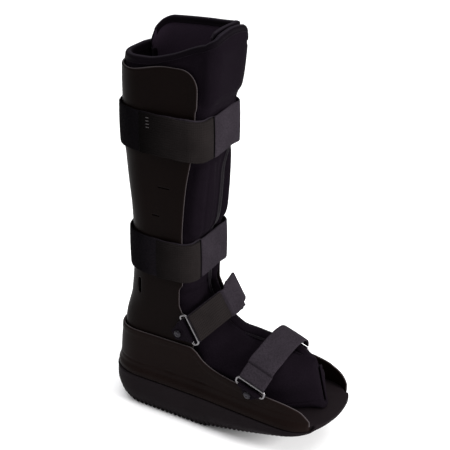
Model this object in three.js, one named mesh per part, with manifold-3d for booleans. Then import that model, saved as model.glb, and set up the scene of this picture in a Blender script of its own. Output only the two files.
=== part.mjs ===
// Medical walking boot: a rocker sole, a moulded foot shell and leg shell, a padded wrap liner,
// two calf straps, an ankle strap and a toe strap with their wire rings, tabs and rivets.
// Millimetres, +Z up, +X towards the toe. The near side is -Y and the far side is +Y.

import * as THREE from 'three';
import { mergeVertices } from 'three/addons/utils/BufferGeometryUtils.js';
import Module from 'manifold-3d';

const wasm = await Module();
wasm.setup();

// Driving dimensions: the sole
const soleLength = 271;
const soleWidth = 112;
const ledgeHeight = 39.5;
const platformHeight = 44.5;
const ribPitch = 10;
const ribDepth = 3;
const treadInset = 8;
const toeRise = 41;
const heelRise = 18;

// Driving dimensions: the shells
const shellWall = 3;
const legWall = 2.8;
const flangeWidth = 2;
const seamHeight = 96;
const legShellHeight = 408;
const slotWidth = 4;
const slotHeight = 18;
const slitLength = 14;
const slitHeight = 1.8;
const rearDrop = 8;

// Driving dimensions: the liner
const bootHeight = 440;
const linerWidth = 76;
const linerDepth = 100;
const linerWall = 7;
const flapWall = 5.5;
const flapClearance = 1.2;
const linerClearance = 1.2;
const heelSetback = 22;
const instepHeight = 60;

// Driving dimensions: straps, rings, tabs and rivets
const strapThickness = 2.2;
const calfStrapWidth = 46;
const upperStrapHeight = 334;
const lowerStrapHeight = 192;
const footStrapWidth = 31;
const ankleClimb = 26;
const ankleShift = -6;
const toeClimb = 25.5;
const ringWire = 2.6;
const ringDepth = 8;
const tabThickness = 1.2;
const rivetRadius = 4.2;
const rivetHeight = 2;
const gap = 0.35;

// Places that follow from them
const heelX = -soleLength / 2;
const toeX = soleLength / 2;
const legBackX = heelX + heelSetback;
const halfLiner = linerWidth / 2;
const ankleHeight = platformHeight + instepHeight;
const near = -1;
const far = 1;

const mix = (a, b, t) => a + (b - a) * t;
const clamp01 = (t) => Math.min(1, Math.max(0, t));
const smooth = (t) => clamp01(t) ** 2 * (3 - 2 * clamp01(t));

// Straight-line reading of one column of a table whose rows are in rising order of the key column.
function column(table, key, name, at) {
  let i = 0;
  while (i < table.length - 2 && table[i + 1][key] < at) i += 1;
  const t = clamp01((at - table[i][key]) / (table[i + 1][key] - table[i][key]));
  return mix(table[i][name], table[i + 1][name], t);
}

// Solids from grids of points

// A closed mesh from a list of points and faces, with shared vertices merged.
function meshFrom(points, faces) {
  const geometry = new THREE.BufferGeometry();
  geometry.setAttribute('position', new THREE.Float32BufferAttribute(points.flatMap((p) => [p.x, p.y, p.z]), 3));
  geometry.setIndex(faces.flat());
  return outward(mergeVertices(geometry, 1e-4));
}

// Turns every face round if the mesh is inside out, which its signed volume tells.
function outward(geometry) {
  const at = geometry.getAttribute('position');
  const index = geometry.getIndex().array;
  const corners = [0, 1, 2].map(() => new THREE.Vector3());
  let volume = 0;
  for (let i = 0; i < index.length; i += 3) {
    corners.forEach((corner, k) => corner.fromBufferAttribute(at, index[i + k]));
    volume += corners[0].dot(corners[1].cross(corners[2])) / 6;
  }
  if (volume < 0) {
    for (let i = 0; i < index.length; i += 3) [index[i], index[i + 1]] = [index[i + 1], index[i]];
  }
  return geometry;
}

// Two triangles between neighbouring rows of a grid, for each cell.
function gridFaces(rows, across, id, closedRows, closedAcross) {
  const faces = [];
  for (let i = 0; i < rows - (closedRows ? 0 : 1); i += 1) {
    for (let j = 0; j < across - (closedAcross ? 0 : 1); j += 1) {
      const a = id(i, j);
      const b = id(i, (j + 1) % across);
      const c = id((i + 1) % rows, (j + 1) % across);
      const d = id((i + 1) % rows, j);
      faces.push([a, b, c], [a, c, d]);
    }
  }
  return faces;
}

// A sheet with thickness: an outer and an inner grid joined along their open edges.
function sheet(outer, inner, closedAcross = false) {
  const rows = outer.length;
  const across = outer[0].length;
  const points = [...outer.flat(), ...inner.flat()];
  const out = (i, j) => i * across + j;
  const inn = (i, j) => rows * across + i * across + j;
  const faces = gridFaces(rows, across, out, false, closedAcross);
  gridFaces(rows, across, inn, false, closedAcross).forEach(([a, b, c]) => faces.push([a, c, b]));
  const edge = (from, to, count, closed) => {
    for (let k = 0; k < count - (closed ? 0 : 1); k += 1) {
      const n = (k + 1) % count;
      faces.push([from(n), from(k), to(k)], [from(n), to(k), to(n)]);
    }
  };
  edge((j) => out(0, j), (j) => inn(0, j), across, closedAcross);
  edge((j) => inn(rows - 1, j), (j) => out(rows - 1, j), across, closedAcross);
  if (!closedAcross) {
    edge((i) => inn(i, 0), (i) => out(i, 0), rows, false);
    edge((i) => out(i, across - 1), (i) => inn(i, across - 1), rows, false);
  }
  return meshFrom(points, faces);
}

// Closed rings in a row, each ring joined to the next, and the first and last closed by a fan.
function loft(rings) {
  const across = rings[0].length;
  const points = rings.flat();
  const faces = gridFaces(rings.length, across, (i, j) => i * across + j, false, true);
  for (const [row, flip] of [[0, false], [rings.length - 1, true]]) {
    const middle = new THREE.Vector3();
    rings[row].forEach((p) => middle.addScaledVector(p, 1 / across));
    points.push(middle);
    for (let j = 0; j < across; j += 1) {
      const a = row * across + j;
      const b = row * across + (j + 1) % across;
      faces.push(flip ? [a, b, points.length - 1] : [b, a, points.length - 1]);
    }
  }
  return meshFrom(points, faces);
}

// A wire bent into a closed loop: a round section carried along a closed path.
function wireLoop(path, side, radius, sides = 8) {
  const n = path.length;
  const rings = path.map((p, i) => {
    const along = path[(i + 1) % n].clone().sub(path[(i + n - 1) % n]).normalize();
    const across = along.clone().cross(side).normalize();
    return Array.from({ length: sides }, (_, k) => {
      const turn = (2 * Math.PI * k) / sides;
      return p.clone().addScaledVector(across, radius * Math.cos(turn)).addScaledVector(side, radius * Math.sin(turn));
    });
  });
  return meshFrom(rings.flat(), gridFaces(n, sides, (i, j) => i * sides + j, true, true));
}

// Boolean cuts

function toSolid(geometry) {
  const plain = geometry.clone();
  plain.deleteAttribute('normal');
  plain.deleteAttribute('uv');
  const merged = mergeVertices(plain, 1e-4);
  const vertProperties = Float32Array.from(merged.getAttribute('position').array);
  const triVerts = Uint32Array.from(merged.getIndex().array);
  return new wasm.Manifold(new wasm.Mesh({ numProp: 3, vertProperties, triVerts }));
}

function toGeometry(solid) {
  const mesh = solid.getMesh();
  const geometry = new THREE.BufferGeometry();
  geometry.setAttribute('position', new THREE.BufferAttribute(Float32Array.from(mesh.vertProperties), 3));
  geometry.setIndex(new THREE.BufferAttribute(Uint32Array.from(mesh.triVerts), 1));
  return geometry;
}

function cut(geometry, cutters) {
  return toGeometry(cutters.reduce((solid, cutter) => solid.subtract(toSolid(cutter)), toSolid(geometry)));
}

// The sole

// Half width of the sole at its ledge: round at the heel, widest at the ball, squarish at the toe.
const soleWaist = [
  { along: -0.5, half: 0.86 },
  { along: -0.35, half: 0.87 },
  { along: -0.05, half: 0.89 },
  { along: 0.2, half: 0.965 },
  { along: 0.35, half: 1 },
  { along: 0.5, half: 1 },
];

const roundedEnd = (reach, power) => (1 - clamp01(reach) ** power) ** (1 / 2.2);

function soleHalf(x) {
  const heelStart = heelX + 0.16 * soleLength;
  const toeStart = toeX - 0.158 * soleLength;
  const waist = column(soleWaist, 'along', 'half', x / soleLength) * soleWidth / 2;
  const heel = roundedEnd((heelStart - x) / (heelStart - heelX), 2.3);
  const toe = roundedEnd((x - toeStart) / (toeX - toeStart), 2.6);
  return waist * Math.min(heel, toe);
}

// Height of the tread: flat under the leg, a straight ramp to the toe and a rounded heel.
const flatBack = heelX + 0.17 * soleLength;
const flatFront = -0.06 * soleLength;

function treadHeight(x) {
  const forward = clamp01((x - flatFront) / (toeX - flatFront));
  const behind = clamp01((flatBack - x) / (flatBack - heelX));
  const onset = smooth((x - flatFront) / (0.08 * soleLength));
  return toeRise * (0.7 * forward + 0.3 * forward ** 2) * onset + heelRise * behind ** 2;
}

// One cross-section of the sole: platform, ledge, bulging side and tread, near side to far side.
function soleRing(x, groove) {
  const half = soleHalf(x);
  const inner = mix(Math.max(platformHalf(x), 0.4 * half), half * 0.95, smooth((x - shellFront - 1) / 3));
  const onPlatform = smooth((x - platformBack) / 0.6);
  const capped = smooth((x - shellFront - 1) / 3);
  const top = mix(ledgeHeight, platformHeight, onPlatform);
  const ledge = mix(ledgeHeight, platformHeight - 1.5, capped);
  const tread = treadHeight(x) + groove;
  const bottom = Math.max(half - treadInset, 0.6 * half);
  const profile = [
    [inner, top],
    [inner + 0.1, mix(ledge, top, 0.02)],
    [half, ledge],
    [half * 0.985, mix(ledge, tread, 0.55)],
    [mix(bottom, half, 0.55), mix(ledge, tread, 0.9)],
    [bottom, tread],
  ];
  const section = (side) => profile.map(([y, z]) => new THREE.Vector3(x, side * y, z));
  return [...section(near), ...section(far).reverse()];
}

const platformBack = heelX + shellWall + flangeWidth + 5;
const shellFront = toeX - 0.0475 * soleLength;

// Half width of the raised platform, which fits inside the foot shell's wall.
function platformHalf(x) {
  const inset = shellWall + 2 * gap;
  const side = footShellPoint(Math.max(x, heelStart), null, 0, 0).y;
  const reach = (heelStart - x) / (heelStart - platformBack + 1.5);
  return (side - inset) * (1 - clamp01(reach) ** 2.2) ** (1 / 2.2) - flangeWidth * 0.3;
}

function outsole() {
  const ends = [0.4, 1.6, 4, 7.5];
  const stations = ends.map((d) => [heelX + d, 0]);
  const ribs = Math.floor((soleLength - 30) / ribPitch);
  const firstRib = -((ribs - 1) * ribPitch) / 2;
  for (let i = 0; i < ribs; i += 1) {
    const middle = firstRib + i * ribPitch;
    const reach = ribPitch * 0.28;
    stations.push([middle - reach - 0.8, ribDepth], [middle - reach, 0], [middle + reach, 0], [middle + reach + 0.8, ribDepth]);
  }
  stations.push([platformBack, 0], [platformBack + 0.6, 0], [shellFront + 1, 0]);
  ends.slice().reverse().forEach((d) => stations.push([toeX - d, 0]));
  stations.sort((a, b) => a[0] - b[0]);
  return loft(stations.map(([x, groove]) => soleRing(x, groove)));
}

// The leg and the liner

// Level sections of the leg, from the rim to the ankle. up is a share of the height from the ankle
// to the rim, and back and front are shares of the liner's depth from the leg's back line. bend is
// how far each side leans in towards the front, as a share of that depth.
const legRows = [
  { up: 1.03, back: 0.005, front: 1.2, half: 1, bend: 0.035 },
  { up: 0.9, back: 0.005, front: 1.17, half: 1, bend: 0.035 },
  { up: 0.805, back: 0, front: 1.07, half: 1.01, bend: 0.045 },
  { up: 0.765, back: 0, front: 1.02, half: 1.01, bend: 0.045 },
  { up: 0.61, back: 0.005, front: 1.02, half: 1.01, bend: 0.045 },
  { up: 0.57, back: 0.02, front: 0.995, half: 1, bend: 0.04 },
  { up: 0.48, back: 0.045, front: 0.965, half: 1, bend: 0.035 },
  { up: 0.385, back: 0.075, front: 0.935, half: 1, bend: 0.03 },
  { up: 0.34, back: 0.085, front: 0.87, half: 1, bend: 0.03 },
  { up: 0.185, back: 0.075, front: 0.87, half: 0.995, bend: 0.01 },
];

// Turning sections of the ankle and heel: the back point goes down round the heel in shares of the
// heel's height, and the front point comes down the instep, in shares of the instep's height.
const heelRows = [
  { back: 0.045, down: 0.52, front: 0.87, rise: 0.77, half: 0.985 },
  { back: 0.005, down: 0.99, front: 0.95, rise: 0.43, half: 0.985 },
  { back: -0.05, down: 1.5, front: 1.05, rise: 0.2, half: 0.985 },
  { back: 0.005, down: 1.96, front: 1.17, rise: 0.06, half: 0.995 },
];

// Cross-sections of the foot: the bottom point and the top point as shares of the sole's length
// from its middle, and the top's height as a share of the instep's height over the platform.
const footRows = [
  { bottom: -0.33, top: 0.055, height: 0.98, half: 1 },
  { bottom: -0.18, top: 0.105, height: 0.95, half: 1.08 },
  { bottom: 0.0, top: 0.17, height: 0.93, half: 1.13 },
  { bottom: 0.17, top: 0.25, height: 0.91, half: 1.15 },
  { bottom: 0.3, top: 0.325, height: 0.89, half: 0.92 },
  { bottom: 0.39, top: 0.375, height: 0.88, half: 0.5 },
  { bottom: 0.445, top: 0.4, height: 0.87, half: 0.16 },
];

const point = (x, z) => new THREE.Vector3(x, 0, z);

function linerSections() {
  const onLeg = (share) => legBackX + share * linerDepth;
  const level = (up) => mix(ankleHeight, bootHeight, up);
  const leg = legRows.map((row) => ({
    back: point(onLeg(row.back), level(row.up)),
    front: point(onLeg(row.front), level(row.up)),
    half: row.half * halfLiner,
    bend: row.bend * linerDepth,
    backRound: 0.82 * halfLiner,
    frontRound: 0.45 * halfLiner,
  }));
  const floor = platformHeight + gap;
  const heel = heelRows.map((row) => ({
    back: point(onLeg(row.back), Math.max(mix(level(0.2), floor, row.down / 1.96), floor)),
    front: point(onLeg(row.front), ankleHeight + row.rise * instepHeight),
    half: row.half * halfLiner,
    bend: 0,
    backRound: mix(0.82, 0.78, row.down / 1.96) * halfLiner,
    frontRound: mix(0.5, 0.7, row.down / 1.96) * halfLiner,
  }));
  const foot = footRows.map((row) => ({
    back: point(row.bottom * soleLength, floor),
    front: point(row.top * soleLength, floor + row.height * instepHeight),
    half: row.half * halfLiner,
    bend: 0,
    backRound: Math.min(0.34 * halfLiner, 0.8 * row.half * halfLiner),
    frontRound: Math.min(0.74 * halfLiner, 0.9 * row.half * halfLiner),
  }));
  return [...leg, ...heel, ...foot];
}

const sections = linerSections();
const toeRow = sections.length - 1;

// The section at a place between two rows of the table.
function sectionAt(s) {
  const i = Math.min(Math.floor(s), sections.length - 2);
  const t = s - i;
  const [a, b] = [sections[i], sections[i + 1]];
  return {
    back: a.back.clone().lerp(b.back, t),
    front: a.front.clone().lerp(b.front, t),
    half: mix(a.half, b.half, t),
    bend: mix(a.bend, b.bend, t),
    backRound: mix(a.backRound, b.backRound, t),
    frontRound: mix(a.frontRound, b.frontRound, t),
  };
}

// Shares of the way round from the back to the front at which flats and rounds meet.
const turns = { backFlat: 0.1, backRound: 0.36, side: 0.66, frontRound: 0.9 };

// How far a side leans in at a distance forward of the section's back.
const leanIn = (section, forward) => section.bend * clamp01((forward / linerDepth - 0.3) / 0.6) ** 2;

// A rounded rectangle in plan, grown by a distance. around is 0 at the back, -1 at the front by the
// near side and +1 at the front by the far side. It goes on past the front to the other side.
function onSection(section, around, grow) {
  let q = around;
  if (q < -1) q += 2;
  if (q > 1) q -= 2;
  const side = q < 0 ? near : far;
  q = Math.abs(q);
  const depth = section.front.distanceTo(section.back);
  const grown = (size) => Math.max(size + grow, 0.3 * size);
  const half = grown(section.half);
  const backRound = Math.min(grown(section.backRound), half);
  const frontRound = Math.min(grown(section.frontRound), half);
  const share = (from, to) => clamp01((q - from) / (to - from));
  let a;
  let y;
  if (q < turns.backFlat) {
    a = -grow;
    y = (half - backRound) * share(0, turns.backFlat);
  } else if (q < turns.backRound) {
    const turn = share(turns.backFlat, turns.backRound) * Math.PI / 2;
    a = -grow + backRound * (1 - Math.cos(turn));
    y = half - backRound * (1 - Math.sin(turn));
  } else if (q < turns.side) {
    a = mix(-grow + backRound, depth + grow - frontRound, share(turns.backRound, turns.side));
    y = half;
  } else if (q < turns.frontRound) {
    const turn = share(turns.side, turns.frontRound) * Math.PI / 2;
    a = depth + grow - frontRound * (1 - Math.sin(turn));
    y = half - frontRound * (1 - Math.cos(turn));
  } else {
    a = depth + grow;
    y = (half - frontRound) * (1 - share(turns.frontRound, 1));
  }
  const along = section.front.clone().sub(section.back).normalize();
  const p = section.back.clone().addScaledVector(along, a);
  p.y = side * y * (1 - leanIn(section, a) / half);
  return p;
}

// The row place at which the leg's sections have a given height.
function indexAtHeight(z) {
  let i = 0;
  while (i < legRows.length - 2 && sections[i + 1].back.z > z) i += 1;
  return i + clamp01((sections[i].back.z - z) / (sections[i].back.z - sections[i + 1].back.z));
}

// Rim of the liner, as shares of its full height: low behind, high in front.
const linerRim = [
  { around: -1.2, height: 0.955 },
  { around: -1.14, height: 0.985 },
  { around: -1, height: 1 },
  { around: -0.85, height: 0.99 },
  { around: -0.66, height: 0.975 },
  { around: -0.5, height: 0.94 },
  { around: -0.4, height: 0.925 },
  { around: -0.1, height: 0.92 },
  { around: 0.8, height: 0.92 },
];

// Rim of the far flap, which stands higher than the liner behind it.
const flapRim = [
  { around: 0.16, height: 0.94 },
  { around: 0.2, height: 0.957 },
  { around: 0.27, height: 0.972 },
  { around: 0.36, height: 0.982 },
  { around: 0.75, height: 0.998 },
  { around: 1, height: 1 },
  { around: 1.25, height: 0.985 },
];

// Where the near flap ends across the front, and where the liner ends on the far side.
const flapEdges = [
  { down: 0, nearEnd: -1.2, farEnd: 0.64 },
  { down: 0.2, nearEnd: -1.16, farEnd: 0.64 },
  { down: 0.3, nearEnd: -1.05, farEnd: 0.62 },
  { down: 0.5, nearEnd: -1.04, farEnd: 0.62 },
  { down: 0.62, nearEnd: -1.05, farEnd: 0.66 },
  { down: 0.9, nearEnd: -1.05, farEnd: 0.68 },
  { down: 1, nearEnd: -1.02, farEnd: 0.68 },
];

// Places round a section at which its flats and rounds are met, from the back to a side's front.
const sideStops = [0.1, 0.165, 0.23, 0.295, 0.36, 0.46, 0.56, 0.66, 0.72, 0.78, 0.84, 0.9, 1];

// A padded wall carried down the boot from a rim to the toe, between two grown outlines. It meets
// every section of the table on its way, and stops lists its places round each of them.
function paddedWall(rim, toe, stops, growOut, wall) {
  const rimRow = (around) => indexAtHeight(column(rim, 'around', 'height', around) * bootHeight);
  const lastWhole = Math.ceil(toe(1)) - 1;
  const count = lastWhole + 2;
  const place = (i, around) => {
    if (i === 0) return rimRow(around);
    if (i === 1) return mix(rimRow(around), 2, 0.5);
    return i > lastWhole ? toe(around) : i;
  };
  const grid = (grow) => Array.from({ length: count }, (_, i) => stops(i / (count - 1))
    .map((around) => onSection(sectionAt(place(i, around)), around, grow)));
  return sheet(grid(growOut), grid(growOut - wall));
}

function liner() {
  const stops = (down) => [
    column(flapEdges, 'down', 'nearEnd', down),
    mix(column(flapEdges, 'down', 'nearEnd', down), -1, 0.5),
    ...sideStops.slice().reverse().map((t) => -t),
    0,
    ...sideStops.filter((t) => t < 0.6),
    column(flapEdges, 'down', 'farEnd', down),
  ];
  return paddedWall(linerRim, () => toeRow, stops, 0, linerWall);
}

function linerFarFlap() {
  const stops = (down) => {
    const rear = mix(0.16, 0.42, down);
    return [rear, mix(rear, 0.46, 0.4), mix(rear, 0.46, 0.75), ...sideStops.filter((t) => t > 0.4), 1.1, mix(1.25, 1.14, down)];
  };
  const toe = (around) => toeRow - 1.2 - 0.9 * smooth((around - 0.6) / 0.5);
  return paddedWall(flapRim, toe, stops, -linerWall - flapClearance, flapWall);
}

// The leg shell

const legGrow = linerClearance;

// Front edge of the leg shell: up is its height as a share of the leg shell's height, and front is
// a share of the liner's depth from the leg's back line.
const legShellEdge = [
  { up: 0.175, front: 0.8 },
  { up: 0.215, front: 0.9 },
  { up: 0.245, front: 0.95 },
  { up: 0.3, front: 0.84 },
  { up: 0.33, front: 0.79 },
  { up: 0.345, front: 0.765 },
  { up: 0.39, front: 0.77 },
  { up: 0.405, front: 0.81 },
  { up: 0.53, front: 0.83 },
  { up: 0.61, front: 0.86 },
  { up: 0.68, front: 0.895 },
  { up: 0.755, front: 0.945 },
  { up: 0.84, front: 0.98 },
  { up: 0.877, front: 0.985 },
  { up: 0.893, front: 1.01 },
  { up: 0.935, front: 1.03 },
  { up: 0.968, front: 1.025 },
  { up: 0.984, front: 1 },
  { up: 0.996, front: 0.95 },
  { up: 1, front: 0.88 },
];

// Level section of the leg shell's inner face at a height, also below the ankle.
function legShellSection(z) {
  const low = sections[legRows.length - 1];
  if (z >= low.back.z) {
    return sectionAt(indexAtHeight(z));
  }
  const down = (low.back.z - z) / (low.back.z - seamHeight);
  const back = low.back.clone();
  back.x -= linerDepth * (0.065 * down + 0.03 * down ** 2);
  back.z = z;
  return { ...low, bend: 0, back, front: point(low.front.x, z) };
}

function legShell() {
  const levels = legShellEdge.map((row) => row.up * legShellHeight);
  const sideSteps = 5;
  const arcSteps = 6;
  const grid = (grow) => levels.map((z) => {
    const section = legShellSection(z);
    const edgeX = legBackX + column(legShellEdge, 'up', 'front', z / legShellHeight) * linerDepth;
    const half = section.half + grow;
    const round = section.backRound + grow;
    const backX = section.back.x - grow;
    const arcX = backX + round;
    const top = smooth((z / legShellHeight - 0.8) / 0.2);
    const row = [];
    const put = (x, y) => {
      const behind = smooth((edgeX - 0.15 * linerDepth - x) / (0.5 * linerDepth));
      row.push(new THREE.Vector3(x, near * y, z - rearDrop * top * behind));
    };
    for (let i = 0; i <= sideSteps; i += 1) {
      const x = mix(edgeX, arcX, i / sideSteps);
      put(x, half - leanIn(section, x - section.back.x));
    }
    for (let i = 1; i <= arcSteps; i += 1) {
      const turn = (i / arcSteps) * Math.PI / 2;
      put(arcX - round * Math.sin(turn), half - round * (1 - Math.cos(turn)));
    }
    return [...row, ...row.slice().reverse().map((p) => new THREE.Vector3(p.x, -p.y, p.z))];
  });
  const shell = sheet(grid(legGrow + legWall), grid(legGrow));
  return cut(shell, legOpenings());
}

// Two short slits in each side panel and an upright slot at each rear corner.
function legOpenings() {
  const slits = [{ up: 0.667, front: 0.6, long: 1 }, { up: 0.587, front: 0.5, long: 0.65 }];
  const cutters = [];
  for (const side of [near, far]) {
    const y = side * (halfLiner + legWall / 2);
    for (const slit of slits) {
      const box = new THREE.BoxGeometry(slit.long * slitLength, legWall * 6, slitHeight);
      box.translate(legBackX + slit.front * linerDepth, y, slit.up * legShellHeight);
      cutters.push(box);
    }
    const slot = new THREE.BoxGeometry(slotWidth, legWall * 8, slotHeight);
    slot.translate(legBackX + 0.26 * linerDepth, y, lowerStrapHeight - calfStrapWidth / 2 - slotHeight);
    cutters.push(slot);
  }
  return cutters;
}

// The foot shell

// Top edge of the foot shell's wall, from heel to toe, as shares of the sole's length and of the
// wall's height from the ledge to the seam. half is its half width there as a share of the sole's.
const footShellEdge = [
  { along: -0.5, height: 1, half: 0.8 },
  { along: -0.08, height: 1, half: 0.8 },
  { along: -0.055, height: 0.94, half: 0.81 },
  { along: -0.02, height: 0.79, half: 0.83 },
  { along: 0.022, height: 0.7, half: 0.85 },
  { along: 0.068, height: 0.65, half: 0.865 },
  { along: 0.113, height: 0.62, half: 0.88 },
  { along: 0.27, height: 0.545, half: 0.925 },
  { along: 0.35, height: 0.495, half: 0.9 },
  { along: 0.386, height: 0.445, half: 0.87 },
  { along: 0.415, height: 0.39, half: 0.84 },
  { along: 0.435, height: 0.31, half: 0.82 },
  { along: 0.4525, height: 0.2, half: 0.79 },
];

const wallLevels = [
  { share: 0, out: 0.4 },
  { share: 0.03, out: 1 },
  { share: 0.11, out: 1 },
  { share: 0.16, out: 0 },
  { share: 0.45, out: 0 },
  { share: 0.75, out: 0 },
  { share: 1, out: 0 },
];

const heelStart = heelX + 0.19 * soleLength;

// A point of the foot shell: along the side by x, or round the heel by an angle.
function footShellPoint(x, heelTurn, share, grow) {
  const z0 = ledgeHeight + gap;
  const atSeam = legShellSection(seamHeight);
  const edge = (name, at) => column(footShellEdge, 'along', name, at / soleLength);
  const along = heelTurn === null ? x : heelStart;
  const top = mix(z0, seamHeight, edge('height', along));
  const z = mix(z0, top, share);
  const rise = clamp01((z - z0) / (seamHeight - z0));
  const baseHalf = soleHalf(Math.max(along, heelX + 0.2 * soleLength)) - flangeWidth - 0.4;
  const seamHalf = atSeam.half + legGrow + legWall + gap + shellWall;
  const rear = smooth((0.1 * soleLength - along) / (0.2 * soleLength));
  const topHalf = mix(edge('half', along) * soleWidth / 2, seamHalf, rear);
  const half = mix(baseHalf, topHalf, rear > 0 ? mix(share, rise, rear) : share) + grow;
  if (heelTurn === null) return new THREE.Vector3(x, half, z);
  const backBase = heelX + flangeWidth + 1.5;
  const backTop = atSeam.back.x - legGrow - legWall - gap - shellWall;
  const back = mix(backBase, backTop, rise ** 1.4) - grow;
  const square = mix(2.35, 3, rise);
  const c = Math.cos(heelTurn) ** (2 / square);
  const s = Math.sin(heelTurn) ** (2 / square);
  return new THREE.Vector3(heelStart - (heelStart - back) * s, half * c, z);
}

function footShell() {
  const sideX = footShellEdge.filter((row) => row.along > -0.3).map((row) => row.along * soleLength).reverse();
  const middle = [-0.14, -0.22].map((share) => share * soleLength);
  const sides = [...sideX, ...middle, heelStart];
  const arcSteps = 8;
  const grid = (inner) => wallLevels.map(({ share, out }) => {
    const grow = inner ? -shellWall : out * flangeWidth;
    const row = sides.map((x) => footShellPoint(x, null, share, grow));
    for (let i = 1; i < arcSteps; i += 1) {
      row.push(footShellPoint(0, (i / arcSteps) * Math.PI / 2, share, grow));
    }
    const back = footShellPoint(0, Math.PI / 2, share, grow);
    back.y = 0;
    const nearSide = row.map((p) => new THREE.Vector3(p.x, -p.y, p.z));
    return [...nearSide, back, ...row.slice().reverse()];
  });
  return sheet(grid(false), grid(true));
}

// Calf straps

// A closed strap round the leg shell and the liner's front: a rounded rectangle in plan.
function strapSection(height, grow) {
  const atStrap = legShellSection(height);
  const out = legGrow + legWall + gap;
  return {
    back: point(atStrap.back.x - out - 1.2 - grow, height),
    front: point(atStrap.front.x + 2 * gap + grow, height),
    half: atStrap.half + out + gap + grow,
    bend: 0,
    backRound: atStrap.backRound + out + grow,
    frontRound: 0.28 * halfLiner + grow,
  };
}

const loopStops = [0, 0.1, 0.165, 0.23, 0.295, 0.36, 0.66, 0.72, 0.78, 0.84, 0.9];

function strapRow(height, grow, stops, z) {
  const section = strapSection(height, grow);
  return stops.map((around) => {
    const p = onSection(section, around, 0);
    p.z = z;
    return p;
  });
}

function calfStrap(height) {
  const stops = [...loopStops, 1, ...loopStops.slice(1).reverse().map((t) => -t)];
  const levels = [height - calfStrapWidth / 2, height + calfStrapWidth / 2];
  const grid = (grow) => levels.map((z) => strapRow(height, grow, stops, z));
  return sheet(grid(strapThickness), grid(0), true);
}

// The end that lies on the strap from the near side round the corner to the front.
function calfStrapEnd(height, from, to) {
  const count = 12;
  const stops = Array.from({ length: count + 1 }, (_, i) => mix(from, to, i / count));
  const levels = [height - calfStrapWidth / 2 + 0.5, height + calfStrapWidth / 2 - 0.5];
  const base = strapThickness + gap;
  const grid = (grow) => levels.map((z) => strapRow(height, grow, stops, z));
  return sheet(grid(base + strapThickness), grid(base));
}

// Straps over the foot, their rings, tabs and rivets

// A foot strap lies in a frame of its own: middle is the ring's outer bar, wide points along the
// bar, and up points from the rivet to the bar. climb is how far the strap rises over the foot, and
// shift how far it moves along wide as it does.
function strapFrame(x, y, z, slope, climb, shift) {
  const wide = new THREE.Vector3(Math.cos(slope), 0, -Math.sin(slope));
  const up = new THREE.Vector3(Math.sin(slope), 0, Math.cos(slope));
  return { middle: new THREE.Vector3(x, y, z), wide, up, climb, shift };
}

const footHalfAt = (x, share) => footShellPoint(x, null, share, 0).y;
const legSideHalf = (z) => legShellSection(z).half + legGrow + legWall;

const barRise = 2 * gap + tabThickness + ringWire / 2;
const ankleBarX = legBackX + 0.91 * linerDepth;
const ankleBarHalf = legSideHalf(seamHeight + 10) + barRise;
const ankleFrame = strapFrame(ankleBarX, ankleBarHalf, seamHeight + 21, 1.03, ankleClimb, ankleShift);
const toeBarX = 0.207 * soleLength;
const toeBarHalf = footHalfAt(toeBarX, 0.7) + barRise + 0.6;
const toeFrame = strapFrame(toeBarX, toeBarHalf, seamHeight - 15, 0.33, toeClimb, 0);

// Where a foot strap's middle line runs: side is its place from the near bar (-1) to the far (1),
// and rise its climb as a share.
const ankleArch = [
  { side: -1, rise: 0 },
  { side: -0.75, rise: 0.3 },
  { side: -0.45, rise: 0.6 },
  { side: -0.15, rise: 0.88 },
  { side: 0.02, rise: 0.985 },
  { side: 0.12, rise: 1 },
  { side: 0.24, rise: 0.95 },
  { side: 0.5, rise: 0.66 },
  { side: 0.78, rise: 0.33 },
  { side: 1, rise: 0 },
];
const toeArch = [
  { side: -1, rise: 0 },
  { side: -0.8, rise: 0.36 },
  { side: -0.5, rise: 0.76 },
  { side: -0.2, rise: 0.96 },
  { side: 0.1, rise: 1 },
  { side: 0.4, rise: 0.86 },
  { side: 0.7, rise: 0.52 },
  { side: 0.88, rise: 0.24 },
  { side: 1, rise: 0 },
];
// Points of the strap's middle line in (y, up), with the outward normal of each.
function archLine(frame, arch, from, to, count) {
  const rise = (side) => column(arch, 'side', 'rise', side);
  const at = (side) => [side * frame.middle.y, rise(side) * frame.climb];
  return Array.from({ length: count + 1 }, (_, i) => {
    const side = mix(from, to, i / count);
    const a = at(Math.max(side - 0.03, -1));
    const b = at(Math.min(side + 0.03, 1));
    const length = Math.hypot(b[0] - a[0], b[1] - a[1]);
    const [y, up] = at(side);
    return { y, up, shift: rise(side) * frame.shift, ny: -(b[1] - a[1]) / length, nu: (b[0] - a[0]) / length };
  });
}

function strapOnArch(frame, line, base, width, thickness) {
  const grid = (grow) => [-0.5, 0.5].map((share) => line.map((p) => {
    const v = new THREE.Vector3(frame.middle.x, 0, frame.middle.z);
    v.addScaledVector(frame.wide, share * width + p.shift);
    v.addScaledVector(frame.up, p.up + p.nu * grow);
    v.y = p.y + p.ny * grow;
    return v;
  }));
  return sheet(grid(base + thickness), grid(base));
}

const barClear = ringWire / 2 + gap;

function footStrap(frame, arch) {
  return strapOnArch(frame, archLine(frame, arch, -1, 1, 22), barClear, footStrapWidth, strapThickness);
}

function footStrapEnd(frame, arch, to) {
  const base = barClear + strapThickness + gap;
  return strapOnArch(frame, archLine(frame, arch, -1, to, 8), base, footStrapWidth - 1, strapThickness);
}

// The ankle strap's free end: it leaves the strap at the top of its arch and stands off to the far side.
const freeEnd = [
  { away: 0, lift: 0, shift: 0 },
  { away: 6, lift: 2, shift: -2 },
  { away: 13, lift: 3, shift: -4 },
  { away: 19, lift: 2, shift: -5 },
];

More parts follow.
